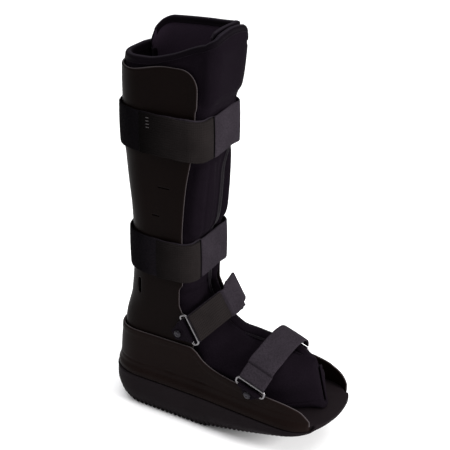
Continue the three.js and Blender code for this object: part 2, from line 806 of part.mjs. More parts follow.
function ankleStrapTab() {
  const frame = ankleFrame;
  const start = archLine(frame, ankleArch, 0.02, 0.2, 1)[0];
  const base = barClear + strapThickness + gap;
  const line = freeEnd.map(({ away, lift, shift }) => ({
    y: start.y + away,
    up: start.up + lift,
    shift: start.shift + shift,
    ny: 0,
    nu: 1,
  }));
  return strapOnArch(frame, line, base, footStrapWidth - 1, strapThickness);
}

// A wire rectangle with rounded corners: its outer bar lies on the strap's line.
function ring(frame, side) {
  const long = footStrapWidth / 2 + ringWire / 2 + gap;
  const round = 3;
  const corner = [[long, 0], [long, -ringDepth], [-long, -ringDepth], [-long, 0]];
  const path = [];
  corner.forEach(([w, u], k) => {
    const start = (Math.PI / 2) * (1 - k);
    for (let i = 0; i <= 2; i += 1) {
      const turn = start - (i / 2) * Math.PI / 2;
      const cw = w - Math.sign(w) * round;
      const cu = u === 0 ? -round : u + round;
      const p = new THREE.Vector3(frame.middle.x, side * frame.middle.y, frame.middle.z);
      p.addScaledVector(frame.wide, cw + round * Math.cos(turn));
      p.addScaledVector(frame.up, cu + round * Math.sin(turn));
      path.push(p);
    }
  });
  return wireLoop(path, new THREE.Vector3(0, 1, 0), ringWire / 2);
}

// A tab folded round the ring's inner bar, with both its layers lying on the shell at the rivet.
function tab(frame, side, surface, drop) {
  const r = ringWire / 2 + gap + tabThickness / 2;
  const low = gap + tabThickness / 2;
  const high = low + tabThickness + gap;
  const tail = ringDepth + drop;
  const path = [
    { up: -tail, out: low, nu: 0, no: -1 },
    { up: -ringDepth - r, out: low, nu: 0, no: -1 },
  ];
  for (let i = 0; i <= 6; i += 1) {
    const turn = mix(-0.5, 0.78, i / 6) * Math.PI;
    path.push({ up: -ringDepth + r * Math.cos(turn), out: null, turn, nu: Math.cos(turn), no: Math.sin(turn) });
  }
  path.push({ up: -ringDepth - 0.3 * drop, out: high, nu: 0, no: 1 }, { up: -tail, out: high, nu: 0, no: 1 });
  const across = [-1, 0, 1];
  const wide = (up) => footStrapWidth * mix(0.44, 0.2, clamp01((-up - ringDepth) / drop));
  const grid = (grow) => path.map((row) => across.map((t) => {
    const up = row.up + row.nu * grow;
    const p = frame.middle.clone().addScaledVector(frame.wide, t * wide(up)).addScaledVector(frame.up, up);
    const y = row.out === null
      ? frame.middle.y + (r + grow) * Math.sin(row.turn)
      : surface(p) + row.out + row.no * grow;
    p.y = side * y;
    return p;
  }));
  return sheet(grid(tabThickness / 2), grid(-tabThickness / 2));
}

// A domed rivet head on the tab.
function rivet(frame, side, surface, drop) {
  const p = frame.middle.clone().addScaledVector(frame.up, -ringDepth - 0.65 * drop);
  const y = surface(p) + 3 * gap + 2 * tabThickness + 0.25;
  const profile = [[0, 0], [1, 0], [1, 0.35], [0.8, 0.75], [0.45, 0.95], [0, 1]]
    .map(([r, h]) => new THREE.Vector2(r * rivetRadius, h * rivetHeight));
  const head = new THREE.LatheGeometry(profile, 14);
  const merged = new THREE.BufferGeometry();
  merged.setAttribute('position', head.getAttribute('position'));
  merged.setIndex(head.getIndex());
  merged.rotateX(side === far ? 0 : Math.PI);
  merged.translate(p.x, side * y, p.z);
  return outward(mergeVertices(merged, 1e-4));
}

const legSurface = (p) => legSideHalf(p.z);
const footSurface = (p) => {
  const top = footShellPoint(p.x, null, 1, 0);
  const bottom = footShellPoint(p.x, null, 0.16, 0);
  return mix(bottom.y, top.y, clamp01((p.z - bottom.z) / (top.z - bottom.z)));
};

// Materials

const finish = (color, roughness, metalness = 0) => new THREE.MeshStandardMaterial({ color, roughness, metalness });
const materials = {
  rubber: finish(0x1b191b, 0.85),
  shell: finish(0x161416, 0.45),
  padding: finish(0x15121a, 0.95),
  pile: finish(0x2b282f, 0.95),
  webbing: finish(0x2b2c2a, 0.9),
  steel: finish(0x9a9a9c, 0.3, 1),
  tab: finish(0x1a181c, 0.5),
};

const boot = new THREE.Group();

function add(name, geometry, material) {
  const mesh = new THREE.Mesh(geometry, material);
  mesh.name = name;
  boot.add(mesh);
}

add('outsole', outsole(), materials.rubber);
add('foot_shell', footShell(), materials.shell);
add('leg_shell', legShell(), materials.shell);
add('liner', liner(), materials.padding);
add('liner_far_flap', linerFarFlap(), materials.padding);
add('calf_strap_upper', calfStrap(upperStrapHeight), materials.pile);
add('calf_strap_lower', calfStrap(lowerStrapHeight), materials.pile);
add('calf_strap_upper_end', calfStrapEnd(upperStrapHeight, -0.47, -0.93), materials.webbing);
add('calf_strap_lower_end', calfStrapEnd(lowerStrapHeight, -0.47, -0.92), materials.webbing);
add('ankle_strap', footStrap(ankleFrame, ankleArch), materials.pile);
add('ankle_strap_end', footStrapEnd(ankleFrame, ankleArch, -0.1), materials.webbing);
add('ankle_strap_tab', ankleStrapTab(), materials.pile);
add('toe_strap', footStrap(toeFrame, toeArch), materials.pile);
add('toe_strap_end', footStrapEnd(toeFrame, toeArch, -0.62), materials.pile);

for (const [sideName, side] of [['near', near], ['far', far]]) {
  const places = [['ankle', ankleFrame, legSurface, 14], ['toe', toeFrame, footSurface, 11]];
  for (const [place, frame, surface, drop] of places) {
    add(`ring_${place}_${sideName}`, ring(frame, side), materials.steel);
    add(`tab_${place}_${sideName}`, tab(frame, side, surface, drop), materials.tab);
    add(`rivet_${place}_${sideName}`, rivet(frame, side, surface, drop), materials.steel);
  }
}

export default boot;
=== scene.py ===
"""Medical walking boot: smooth surfaces, cloths, fastenings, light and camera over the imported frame."""

import math

import bpy
import numpy as np
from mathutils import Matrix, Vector


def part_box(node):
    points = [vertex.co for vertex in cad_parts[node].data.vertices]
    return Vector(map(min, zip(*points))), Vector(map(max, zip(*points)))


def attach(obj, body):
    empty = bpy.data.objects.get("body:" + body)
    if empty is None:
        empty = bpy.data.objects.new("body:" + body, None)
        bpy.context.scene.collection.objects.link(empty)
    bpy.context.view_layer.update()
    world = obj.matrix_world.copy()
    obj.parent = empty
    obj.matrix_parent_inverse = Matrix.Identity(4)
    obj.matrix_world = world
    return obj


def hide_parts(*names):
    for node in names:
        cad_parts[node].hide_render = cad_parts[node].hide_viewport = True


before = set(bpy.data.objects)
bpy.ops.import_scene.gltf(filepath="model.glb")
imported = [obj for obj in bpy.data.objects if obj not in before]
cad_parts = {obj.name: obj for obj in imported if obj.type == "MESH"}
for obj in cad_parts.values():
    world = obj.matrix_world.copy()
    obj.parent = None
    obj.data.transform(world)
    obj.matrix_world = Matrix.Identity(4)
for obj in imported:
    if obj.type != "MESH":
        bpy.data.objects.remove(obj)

bl_info = {
    "name": "Walking Boot Dresser",
    "version": (1, 0, 0),
    "blender": (4, 5, 0),
    "location": "3D View > Sidebar > Boot",
    "description": "Builds the smooth, finished pieces of a medical walking boot over its frame",
    "category": "Object",
}

MM = 0.001


def frame_box(node):
    """Lowest and highest corner of a frame node, in millimetres."""
    low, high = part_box(node)
    return np.array(low) / MM, np.array(high) / MM


SOLE_LOW, SOLE_HIGH = frame_box("outsole")
UPPER_LOW, UPPER_HIGH = frame_box("calf_strap_upper")
LOWER_LOW, LOWER_HIGH = frame_box("calf_strap_lower")

# Sizes in millimetres that follow from the frame; its facets cut a little off the sole's round ends
FACET_LOSS = 0.8
BOOT_HEIGHT = float(frame_box("liner")[1][2])
SOLE_LENGTH = float(SOLE_HIGH[0] - SOLE_LOW[0]) + FACET_LOSS
SOLE_WIDTH = float(SOLE_HIGH[1] - SOLE_LOW[1])
PLATFORM_HEIGHT = float(SOLE_HIGH[2])
SHELL_HEIGHT = float(frame_box("leg_shell")[1][2])
SEAM_HEIGHT = float(frame_box("foot_shell")[1][2])
STRAP_WIDTH = float(UPPER_HIGH[2] - UPPER_LOW[2])
STRAP_SAG = 3.5
UPPER_STRAP_Z = float(UPPER_HIGH[2] + UPPER_LOW[2]) / 2 - STRAP_SAG
LOWER_STRAP_Z = float(LOWER_HIGH[2] + LOWER_LOW[2]) / 2
HEEL_X = -SOLE_LENGTH / 2
TOE_X = SOLE_LENGTH / 2
LEDGE_HEIGHT = PLATFORM_HEIGHT - 5
LEG_BACK_X = HEEL_X + 22
LINER_DEPTH = 100
LINER_HALF = 38
INSTEP_HEIGHT = 60
ANKLE_HEIGHT = PLATFORM_HEIGHT + INSTEP_HEIGHT

# Walls, clearances and fastenings, in millimetres
LINER_WALL = 7
FLAP_WALL = 5.5
FLAP_CLEARANCE = 1.2
SHELL_CLEARANCE = 1.2
LEG_WALL = 2.8
FOOT_WALL = 3
FLANGE = 2
STRAP_THICK = 2.2
FOOT_STRAP_WIDTH = 31
RING_WIRE = 2.6
RING_DEPTH = 8
TAB_THICK = 1.2
GAP = 0.35
NEAR, FAR = -1, 1
FLAP_OUT = -LINER_WALL - FLAP_CLEARANCE
BAR_CLEAR = RING_WIRE / 2 + GAP


def linear(code):
    """Linear colour with alpha from an sRGB hex code: the sRGB curve undone for each channel."""
    channels = [int(code[i:i + 2], 16) / 255 for i in (0, 2, 4)]
    return [c / 12.92 if c <= 0.04045 else ((c + 0.055) / 1.055) ** 2.4 for c in channels] + [1.0]


def length_setting(name, description, default, low, high):
    """A setting that is given here in millimetres and held in metres."""
    return bpy.props.FloatProperty(name=name, description=description, default=default * MM,
                                   min=low * MM, max=high * MM, unit="LENGTH")


def colour_setting(name, description, code):
    """A colour setting that is given here as an sRGB hex code."""
    return bpy.props.FloatVectorProperty(name=name, description=description, default=linear(code),
                                         subtype="COLOR", size=4, min=0, max=1)


class BootSizes(bpy.types.PropertyGroup):
    """Sizes of the boot's dressing that a user would change."""

    padding_puff: length_setting("Padding puff", "How far the liner swells between the straps", 3.2, 0, 6)
    crease_depth: length_setting("Crease depth", "Depth of the soft folds in the liner", 1.5, 0, 4)
    binding_width: length_setting("Binding width", "Width of the tape over the liner's edges", 6.5, 2, 12)
    rib_pitch: length_setting("Rib pitch", "Distance between the tread's cross ribs", 5.6, 3, 20)
    rib_depth: length_setting("Rib depth", "Depth of the tread's cross grooves", 2.4, 0, 5)
    ring_wire: length_setting("Ring wire", "Diameter of the strap rings' wire", RING_WIRE, 1, 4)


class BootColours(bpy.types.PropertyGroup):
    """Colours of the boot and of the stage."""

    shell: colour_setting("Shell", "Moulded polypropylene of the two shells", "100a09")
    rubber: colour_setting("Sole", "Moulded rubber of the sole", "130f11")
    cloth: colour_setting("Liner cloth", "Brushed loop cloth of the liner", "0e0a0f")
    pile: colour_setting("Strap pile", "Loop pile of the straps", "252126")
    webbing: colour_setting("Strap ends", "Woven backing of the strap ends", "181515")
    floor: colour_setting("Floor", "Pale studio floor", "fbfbfc")


def sizes():
    """The scene's size settings."""
    return bpy.context.scene.boot_sizes


def colours():
    """The scene's colour settings."""
    return bpy.context.scene.boot_colours


# Readings and curves


def smooth(t):
    """Smooth step: 3t^2 - 2t^3, with t held between 0 and 1."""
    t = np.clip(t, 0, 1)
    return t * t * (3 - 2 * t)


def mix(a, b, t):
    """Straight blend from a to b."""
    return a + (b - a) * t


def bump(x, middle, reach):
    """A bell: exp of minus the square of the distance over reach."""
    return np.exp(-((x - middle) / reach) ** 2)


def table(columns, *rows):
    """Rows of numbers under named columns, each row as a dictionary."""
    return [dict(zip(columns.split(), row)) for row in rows]


def along_line(points, axis=0):
    """Distance run from the start of each line of points: the running sum of the steps between them."""
    steps = np.linalg.norm(np.diff(points, axis=axis), axis=-1)
    return np.concatenate([np.zeros_like(steps.take([0], axis)), np.cumsum(steps, axis)], axis)


def read(rows, key, name, at):
    """Monotone cubic reading of a table's column: Hermite pieces whose slopes are harmonic means."""
    x = np.array([row[key] for row in rows], float)
    y = np.array([row[name] for row in rows], float)
    if x[0] > x[-1]:
        x, y = x[::-1], y[::-1]
    at = np.clip(np.asarray(at, float), x[0], x[-1])
    h = np.diff(x)
    d = np.diff(y) / h
    same = d[:-1] * d[1:] > 0
    weight = np.where(same, d[:-1] + d[1:], 1)
    inner = np.where(same, 2 * d[:-1] * d[1:] / weight, 0)
    slope = np.concatenate([[d[0]], inner, [d[-1]]])
    i = np.clip(np.searchsorted(x, at, side="right") - 1, 0, len(h) - 1)
    t = (at - x[i]) / h[i]
    a, b = y[i], y[i + 1]
    pa, pb = slope[i] * h[i], slope[i + 1] * h[i]
    return a + pa * t + (3 * (b - a) - 2 * pa - pb) * t ** 2 + (2 * (a - b) + pa + pb) * t ** 3


def edge_steps(length, count, rim):
    """Places from 0 to length: five close ones in the rounded rim at each end, even ones between."""
    turn = np.sin(np.linspace(0, math.pi / 2, 5)) * rim
    ends = rim - np.sqrt(np.clip(rim ** 2 - turn ** 2, 0, None))
    return np.concatenate([ends, np.linspace(rim, length - rim, count)[1:-1], (length - ends)[::-1]])


def edged(share):
    """The same shares with nothing left along all four edges of their grid."""
    share[0], share[-1], share[:, 0], share[:, -1] = 0, 0, 0, 0
    return share


def both_sides(x, y, z):
    """A grid's near half, and its far half in reverse, so that the two make one run round the boot."""
    return np.stack([x, -y, z], -1), np.stack([x, y, z], -1)[:, ::-1]


def roundness(distance, rim):
    """Height of a rounded edge as a share of its full thickness: a quarter circle of radius rim."""
    return np.sqrt(np.clip(1 - (1 - np.clip(distance / rim, 0, 1)) ** 2, 0, 1))


# Meshes from grids


def linked(name, data):
    """A new object in the scene with the given data."""
    obj = bpy.data.objects.new(name, data)
    bpy.context.scene.collection.objects.link(obj)
    return obj


def make_object(name, points, faces, corner_uv, finish, node_name, rim=None):
    """An object with a mesh given in millimetres, smooth, riding on the boot and standing for a frame node.

    corner_uv is the surface map in millimetres, finish the name of its material or None, and rim a
    share for every point, mostly how near it is to the piece's outermost edge, by which the materials paint
    light.
    """
    mesh = bpy.data.meshes.new(name)
    mesh.from_pydata((points * MM).tolist(), [], faces)
    mesh.polygons.foreach_set("use_smooth", np.ones(len(mesh.polygons), bool))
    layer = mesh.uv_layers.new(name="surface")
    flat = np.zeros((len(mesh.loops), 2))
    flat[: len(corner_uv)] = corner_uv * MM
    layer.data.foreach_set("uv", flat.ravel())
    if rim is not None:
        layer = mesh.attributes.new("rim", "FLOAT", "POINT")
        layer.data.foreach_set("value", (rim ** 3).astype(np.float32))
    mesh.validate()
    mesh.update()
    obj = linked(name, mesh)
    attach(obj, "root")
    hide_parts(node_name)
    if finish:
        finish_with(obj, finish)
    return obj


def quads(rows, across, closed=False):
    """Corner indices (row, column) of every cell of a grid, in turn round the cell."""
    i, j = np.meshgrid(np.arange(rows - 1), np.arange(across if closed else across - 1), indexing="ij")
    i, j = i.ravel(), j.ravel()
    return np.stack([i, i, i + 1, i + 1], 1), np.stack([j, j + 1, j + 1, j], 1)


def volume_of(points, faces):
    """Signed volume of a mesh of quads, by the corners' triple products."""
    a, b, c, d = (points[faces[:, k]] for k in range(4))
    return float(np.sum(a * (np.cross(b, c) + np.cross(c, d))) / 6)


def pillow(name, grids, finish, node_name, closed=False, rim=None):
    """A closed body of two grids that meet along their open edges, as the halves of a pillow do.

    The grids are the outer points, the inner points, and u and v, which give each point's place on
    the cloth in millimetres. rim is a pair of grids of shares, for the outer and the inner points.
    """
    outer, inner, u, v = grids
    rows, across = outer.shape[:2]
    ii, jj = quads(rows, across, closed)
    wrap = jj % across
    top = ii * across + wrap
    edge = (ii == 0) | (ii == rows - 1)
    if not closed:
        edge |= (wrap == 0) | (wrap == across - 1)
    under = np.where(edge, top, rows * across + top)
    faces = np.concatenate([top, under[:, ::-1]])
    points = np.concatenate([outer.reshape(-1, 3), inner.reshape(-1, 3)])
    u_wide = np.concatenate([u, u[:, -1:] + (u[:, -1:] - u[:, -2:-1])], 1)
    v_wide = np.concatenate([v, v[:, -1:]], 1)
    uv = np.stack([u_wide[ii, jj], v_wide[ii, jj]], -1)
    corner_uv = np.concatenate([uv, uv[:, ::-1]])
    if volume_of(points, faces) < 0:
        faces, corner_uv = faces[:, ::-1], corner_uv[:, ::-1]
    used, numbers = np.unique(faces, return_inverse=True)
    if rim is not None:
        rim = np.concatenate([rim[0].ravel(), rim[1].ravel()])[used]
    return make_object(name, points[used], numbers.reshape(faces.shape).tolist(), corner_uv.reshape(-1, 2),
                       finish, node_name, rim)


def lofted(name, rings, finish, node_name, closed=False, rim=None):
    """A solid of closed rings in a row, with a flat face at each end, or a tube whose ends meet."""
    rows, across = rings.shape[:2]
    carried = np.concatenate([rings, rings[:1]]) if closed else rings
    ii, jj = quads(len(carried), across, closed=True)
    faces = ii % rows * across + jj % across
    points = rings.reshape(-1, 3)
    ring = rings[rows // 2]
    u, v = along_line(carried).mean(1), along_line(np.concatenate([ring, ring[:1]]))
    uv = np.stack([u[ii], v[jj]], -1)
    first, last = list(range(across)), list(range((rows - 1) * across, rows * across))
    if volume_of(points, faces) < 0:
        faces, uv, last = faces[:, ::-1], uv[:, ::-1], last[::-1]
    else:
        first = first[::-1]
    caps = [] if closed else [first, last]
    return make_object(name, points, faces.tolist() + caps, uv.reshape(-1, 2), finish, node_name, rim)


def wire_loop(path, side, radius, sides=16):
    """Rings of a round section carried along a closed path, whose plane is square to side."""
    along = np.roll(path, -1, 0) - np.roll(path, 1, 0)
    across = np.cross(along, side)
    across /= np.linalg.norm(across, axis=1, keepdims=True)
    turn = np.linspace(0, 2 * math.pi, sides, endpoint=False)
    return (path[:, None] + radius * np.cos(turn)[None, :, None] * across[:, None]
            + radius * np.sin(turn)[None, :, None] * np.asarray(side, float))


# The leg and the liner: level sections of the leg, turning sections of the ankle and heel, and
# cross-sections of the foot. Shares follow the liner's depth, the boot's height and the sole's length.

LEG_ROWS = table(
    "up back front half bend",
    (1.03, 0.005, 1.2, 1, 0.035),
    (0.9, 0.005, 1.17, 1, 0.035),
    (0.805, 0, 1.125, 1.01, 0.045),
    (0.765, 0, 1.06, 1.01, 0.045),
    (0.61, 0.005, 1.02, 1.01, 0.045),
    (0.57, 0.02, 1.025, 1, 0.04),
    (0.48, 0.045, 1.01, 1, 0.035),
    (0.385, 0.075, 0.975, 1, 0.03),
    (0.36, 0.08, 0.95, 1, 0.03),
    (0.325, 0.085, 0.888, 1, 0.03),
    (0.185, 0.075, 0.87, 0.995, 0.01),
)
HEEL_ROWS = table(
    "back down front rise half",
    (0.045, 0.52, 0.87, 0.77, 0.985),
    (0.005, 0.99, 0.95, 0.43, 0.985),
    (-0.05, 1.5, 1.05, 0.2, 0.985),
    (0.005, 1.96, 1.17, 0.06, 0.995),
)
FOOT_ROWS = table(
    "bottom top height half wide",
    (-0.33, 0.055, 0.98, 0.68, 0),
    (-0.18, 0.105, 0.95, 0.787, 0.5),
    (0.0, 0.17, 0.93, 0.767, 1),
    (0.17, 0.25, 0.91, 0.78, 1),
    (0.3, 0.325, 0.89, 0.625, 1),
    (0.39, 0.375, 0.88, 0.34, 1),
    (0.445, 0.4, 0.87, 0.109, 1),
)


def section_rows():
    """Every section in turn from the rim to the toe: its place, back and front points, width and rounds."""
    level = lambda up: mix(ANKLE_HEIGHT, BOOT_HEIGHT, up)
    floor = PLATFORM_HEIGHT + GAP
    rows = []
    for r in LEG_ROWS:
        rows.append({
            "bx": LEG_BACK_X + r["back"] * LINER_DEPTH, "bz": level(r["up"]),
            "fx": LEG_BACK_X + r["front"] * LINER_DEPTH, "fz": level(r["up"]),
            "half": r["half"] * LINER_HALF, "bend": r["bend"] * LINER_DEPTH,
            "back_round": 0.82 * LINER_HALF, "front_round": 0.33 * LINER_HALF,
        })
    for r in HEEL_ROWS:
        rows.append({
            "bx": LEG_BACK_X + r["back"] * LINER_DEPTH,
            "bz": max(mix(level(0.2), floor, r["down"] / 1.96), floor),
            "fx": LEG_BACK_X + r["front"] * LINER_DEPTH, "fz": ANKLE_HEIGHT + r["rise"] * INSTEP_HEIGHT,
            "half": r["half"] * LINER_HALF, "bend": 0,
            "back_round": mix(0.82, 0.78, r["down"] / 1.96) * LINER_HALF,
            "front_round": mix(0.5, 0.7, r["down"] / 1.96) * LINER_HALF,
        })
    for r in FOOT_ROWS:
        half = mix(LINER_HALF, r["half"] * SOLE_WIDTH / 2, r["wide"])
        rows.append({
            "bx": r["bottom"] * SOLE_LENGTH, "bz": floor,
            "fx": r["top"] * SOLE_LENGTH, "fz": floor + r["height"] * INSTEP_HEIGHT,
            "half": half, "bend": 0,
            "back_round": min(0.34 * LINER_HALF, 0.8 * half),
            "front_round": min(0.74 * LINER_HALF, 0.9 * half),
        })
    for number, row in enumerate(rows):
        row["s"] = number
    return rows


SECTIONS = section_rows()
ANKLE_ROW = len(LEG_ROWS) - 1
TOE_ROW = len(SECTIONS) - 1

# Shares of the way round, from the back to the front, at which flats and rounds meet, with the
# distance along the cloth there in millimetres for the middle of the leg.
BACK_FLAT, SIDE_START, SIDE_END, FRONT_FLAT = 0.1, 0.36, 0.66, 0.9
TURNS = table(
    "around girth",
    (0, 0), (BACK_FLAT, 7), (SIDE_START, 56), (SIDE_END, 108), (FRONT_FLAT, 135), (1, 156),
    (1.34, 204),
)


def girth_of(around):
    """Distance along the cloth from the back for a place round the section, negative on the near side."""
    key = [t["around"] for t in TURNS]
    return np.sign(around) * np.interp(np.abs(around), key, [t["girth"] for t in TURNS])


def around_of(girth):
    """Place round the section for a distance along the cloth."""
    key = [t["girth"] for t in TURNS]
    return np.sign(girth) * np.interp(np.abs(girth), key, [t["around"] for t in TURNS])


def place_of_height(z):
    """Row place at which the leg's sections have a given height."""
    heights = np.array([row["bz"] for row in SECTIONS[:ANKLE_ROW + 1]])
    return np.interp(-np.asarray(z), -heights, np.arange(ANKLE_ROW + 1))


def section_at(s):
    """Every column of the section table read at the places s."""
    return {name: read(SECTIONS, "s", name, s) for name in SECTIONS[0] if name != "s"}


def lean_in(bend, forward):
    """How far a side leans in: bend times the square of the way forward from 0.3 to 0.9 of the depth."""
    return bend * np.clip((forward / LINER_DEPTH - 0.3) / 0.6, 0, 1) ** 2


def rounded_outline(around, back, front, half, back_round, front_round):
    """Way forward, half width and side of a rounded outline, and the unsigned place round it.

    The half outline runs along the back flat, a quarter circle, the side, a quarter circle and the
    front flat; around 0 is the back, minus 1 and plus 1 the front by the near and the far side.
    """
    q = np.where(around > 1, around - 2, np.where(around < -1, around + 2, around))
    side = np.where(q < 0, NEAR, FAR)
    q = np.abs(q)
    share = lambda low, high: np.clip((q - low) / (high - low), 0, 1)
    t1 = share(BACK_FLAT, SIDE_START) * math.pi / 2
    t2 = share(SIDE_END, FRONT_FLAT) * math.pi / 2
    spans = [q < BACK_FLAT, q < SIDE_START, q < SIDE_END, q < FRONT_FLAT]
    forward = np.select(spans, [
        back + 0 * q, back + back_round * (1 - np.cos(t1)),
        mix(back + back_round, front - front_round, share(SIDE_START, SIDE_END)),
        front - front_round * (1 - np.sin(t2))], front + 0 * q)
    wide = np.select(spans, [
        (half - back_round) * share(0, BACK_FLAT), half - back_round * (1 - np.sin(t1)), half + 0 * q,
        half - front_round * (1 - np.cos(t2))], (half - front_round) * (1 - share(FRONT_FLAT, 1)))
    return forward, wide, side, q


def on_section(s, around, grow):
    """Points on a rounded rectangle in plan, grown outwards, at row places s and places round them."""
    s, around, grow = np.broadcast_arrays(np.asarray(s, float), around, grow)
    c = section_at(s)
    along = np.stack([c["fx"] - c["bx"], np.zeros_like(s), c["fz"] - c["bz"]], -1)
    depth = np.linalg.norm(along, axis=-1)
    grown = lambda size: np.maximum(size + grow, 0.3 * size)
    half = grown(c["half"])
    back_round = np.minimum(grown(c["back_round"]), half)
    front_round = np.minimum(grown(c["front_round"]), half)
    a, y, side, _ = rounded_outline(around, -grow, depth + grow, half, back_round, front_round)
    unit = along / depth[..., None]
    x = c["bx"] + unit[..., 0] * a
    z = c["bz"] + unit[..., 2] * a
    return np.stack([x, side * y * (1 - lean_in(c["bend"], a) / half), z], -1)


LINER_RIM = table(
    "around height",
    (-1.22, 0.94), (-1.2, 0.96), (-1.14, 0.986), (-1, 1), (-0.85, 0.99), (-0.66, 0.975),
    (-0.5, 0.94), (-0.4, 0.925), (-0.1, 0.92), (0.8, 0.92),
)
FLAP_RIM = table(
    "around height",
    (0.14, 0.9), (0.16, 0.93), (0.2, 0.957), (0.27, 0.974), (0.36, 0.983), (0.75, 0.998),
    (1, 1), (1.25, 0.985),
)
FLAP_EDGES = table(
    "down near_end far_end",
    (0, -1.2, 0.64), (0.2, -1.16, 0.64), (0.3, -1.05, 0.62), (0.5, -1.04, 0.62),
    (0.62, -1.05, 0.66), (0.9, -1.05, 0.68), (1, -1.02, 0.68),
)


# Share of the way down a padded wall, from its rim to its toe, that the leg takes up
LEG_SHARE = 0.52
MM_PER_ROW = 22


def leg_share(down):
    """Share of the way from the rim to the ankle."""
    return np.clip(down / LEG_SHARE, 0, 1)


def foot_share(down):
    """Share of the way from the ankle to the toe."""
    return np.clip((down - LEG_SHARE) / (1 - LEG_SHARE), 0, 1)


def wall_grid(rim, ends, toe_place, columns, rows, rim_round):
    """Row places, places round, and distances to the edges, for a padded wall from its rim to its toe.

    Rows fall evenly in height from the rim to the ankle and then evenly along the sections to the toe;
    columns are even along the cloth, with close ones in the rounded edges.
    """
    leg_rows, foot_rows = rows
    ease = edge_steps(100, leg_rows, rim_round)[:leg_rows + 1]
    last = edge_steps(100, foot_rows, rim_round)[-5:] / 100
    on_foot = np.concatenate([np.linspace(0, 1, foot_rows + 1)[1:-1], 1 - (1 - last) * 0.3])
    down = np.concatenate([ease / ease[-1] * LEG_SHARE, LEG_SHARE + (1 - LEG_SHARE) * on_foot])
    down = np.unique(np.round(down, 6))
    start, stop = (girth_of(end) for end in ends(down))
    width = (stop - start)[:, None]
    steps = edge_steps(200, columns, rim_round) / 200
    girth = start[:, None] + width * steps[None]
    around = around_of(girth)
    height = read(rim, "around", "height", around) * BOOT_HEIGHT
    z = mix(height, SECTIONS[ANKLE_ROW]["bz"], leg_share(down)[:, None])
    toe = toe_place(around)
    on_leg = down[:, None] <= LEG_SHARE
    foot = foot_share(down)[:, None]
    s = np.where(on_leg, place_of_height(z), mix(ANKLE_ROW, toe, foot))
    return {"s": s, "around": around, "girth": girth, "z": z,
            "side": np.minimum(steps, 1 - steps)[None] * width,
            "rim": height - z + np.where(on_leg, 0, BOOT_HEIGHT),
            "toe": (1 - foot) * (toe - ANKLE_ROW) * MM_PER_ROW}


def near_strap(z, reach):
    """1 at a calf strap's height and 0 away from it, easing over reach millimetres past its edges."""
    half = STRAP_WIDTH / 2
    press = lambda middle: 1 - smooth((np.abs(z - middle) - half) / reach)
    return np.maximum(press(UPPER_STRAP_Z), press(LOWER_STRAP_Z))


# Where the liner swells and folds: millimetres up from the floor, along the foot and along the cloth.
# held is the share of the swelling that a foot strap takes away over its reach; depths are shares of
# the crease depth, and a fold wanders to and fro by a sine.
LEG_START = 150
SHIN_LOW, SHIN_HIGH = 216, 308
FOOT_PRESSES = table(
    "held x z forward upward reach",
    (0.9, 62, 100, 1, 0.32, 17),
    (0.85, -10, 132, 0.857, 0.515, 16),
)
SHIN_FOLDS = table(
    "depth girth wander length reach",
    (1.2, -147, 0, 1, 3.2),
    (0.96, -133, 3, 23, 2.6),
    (-0.7, -140, 2, 31, 3.4),
)
ANKLE_FOLDS = table("depth above wander reach", (0.81, 4, 0, 3), (0.9, -9, 3, 3.2))
SEAM_INSET, SEAM_REACH = 2.2, 1.3


def liner_relief(g):
    """Outward swelling of the liner: puff where no shell or strap holds it, less soft folds and seams.

    Puff is a product of smooth steps away from the straps' heights, the shell's front edge and the
    free edges. Folds are bells across lines on the cloth: upright ones down the shin, crossing ones at
    the ankle's bend and long ones over the instep.
    """
    puff, crease, wide = (size / MM for size in (
        sizes().padding_puff, sizes().crease_depth, sizes().binding_width))
    x, y, z = np.moveaxis(on_section(g["s"], g["around"], 0), -1, 0)
    girth = g["girth"]
    leg = smooth((z - LEG_START) / 30)
    shell_edge = LEG_BACK_X + read(SHELL_EDGE, "up", "front", z / SHELL_HEIGHT) * LINER_DEPTH
    clear = np.where(leg > 0, smooth((x - shell_edge - 2) / 9), 0)
    above = smooth((z - SHELL_HEIGHT - 2) / 10)
    open_leg = np.maximum(clear * leg, above) * (1 - near_strap(z, 9))
    open_foot = (1 - leg) * smooth((z - 62) / 22) * smooth((x + 22) / 20)
    for p in FOOT_PRESSES:
        across = (x - p["x"]) * p["forward"] + (z - p["z"]) * p["upward"]
        open_foot = open_foot * (1 - p["held"] * bump(across, 0, p["reach"]))
    edges = smooth((g["side"] - wide) / 13) * smooth((g["rim"] - wide) / 12)
    out = puff * edges * (open_leg + open_foot)
    on_shin = smooth((z - SHIN_LOW) / 12) * smooth((SHIN_HIGH - z) / 14)
    for f in SHIN_FOLDS:
        line = f["girth"] - f["wander"] * np.sin(z / f["length"])
        out -= crease * f["depth"] * bump(girth, line, f["reach"]) * on_shin
    bend_line = z - LEG_START + 0.1 * (girth + 150)
    in_front = smooth((np.abs(girth) - 100) / 18)
    for f in ANKLE_FOLDS:
        line = f["above"] + f["wander"] * np.sin(girth / 9)
        out -= crease * f["depth"] * bump(bend_line, line, f["reach"]) * in_front
    wave = np.sin(x / 7.5 + 0.06 * y + 1.5 * np.sin(y / 13))
    instep = (1 - leg) * smooth((x + 5) / 14) * smooth((54 - x) / 14) * smooth((z - 80) / 12)
    out += crease * 0.7 * wave * instep * smooth((np.abs(girth) - 112) / 22)
    beside = [bump(g[edge], wide + SEAM_INSET, SEAM_REACH) for edge in ("side", "rim")]
    toe_seam = (1 - leg) * smooth((x - 70) / 8) * bump(z, PLATFORM_HEIGHT + 11, 1.1) * 0.8
    return out - 0.9 * np.maximum(*beside) - toe_seam


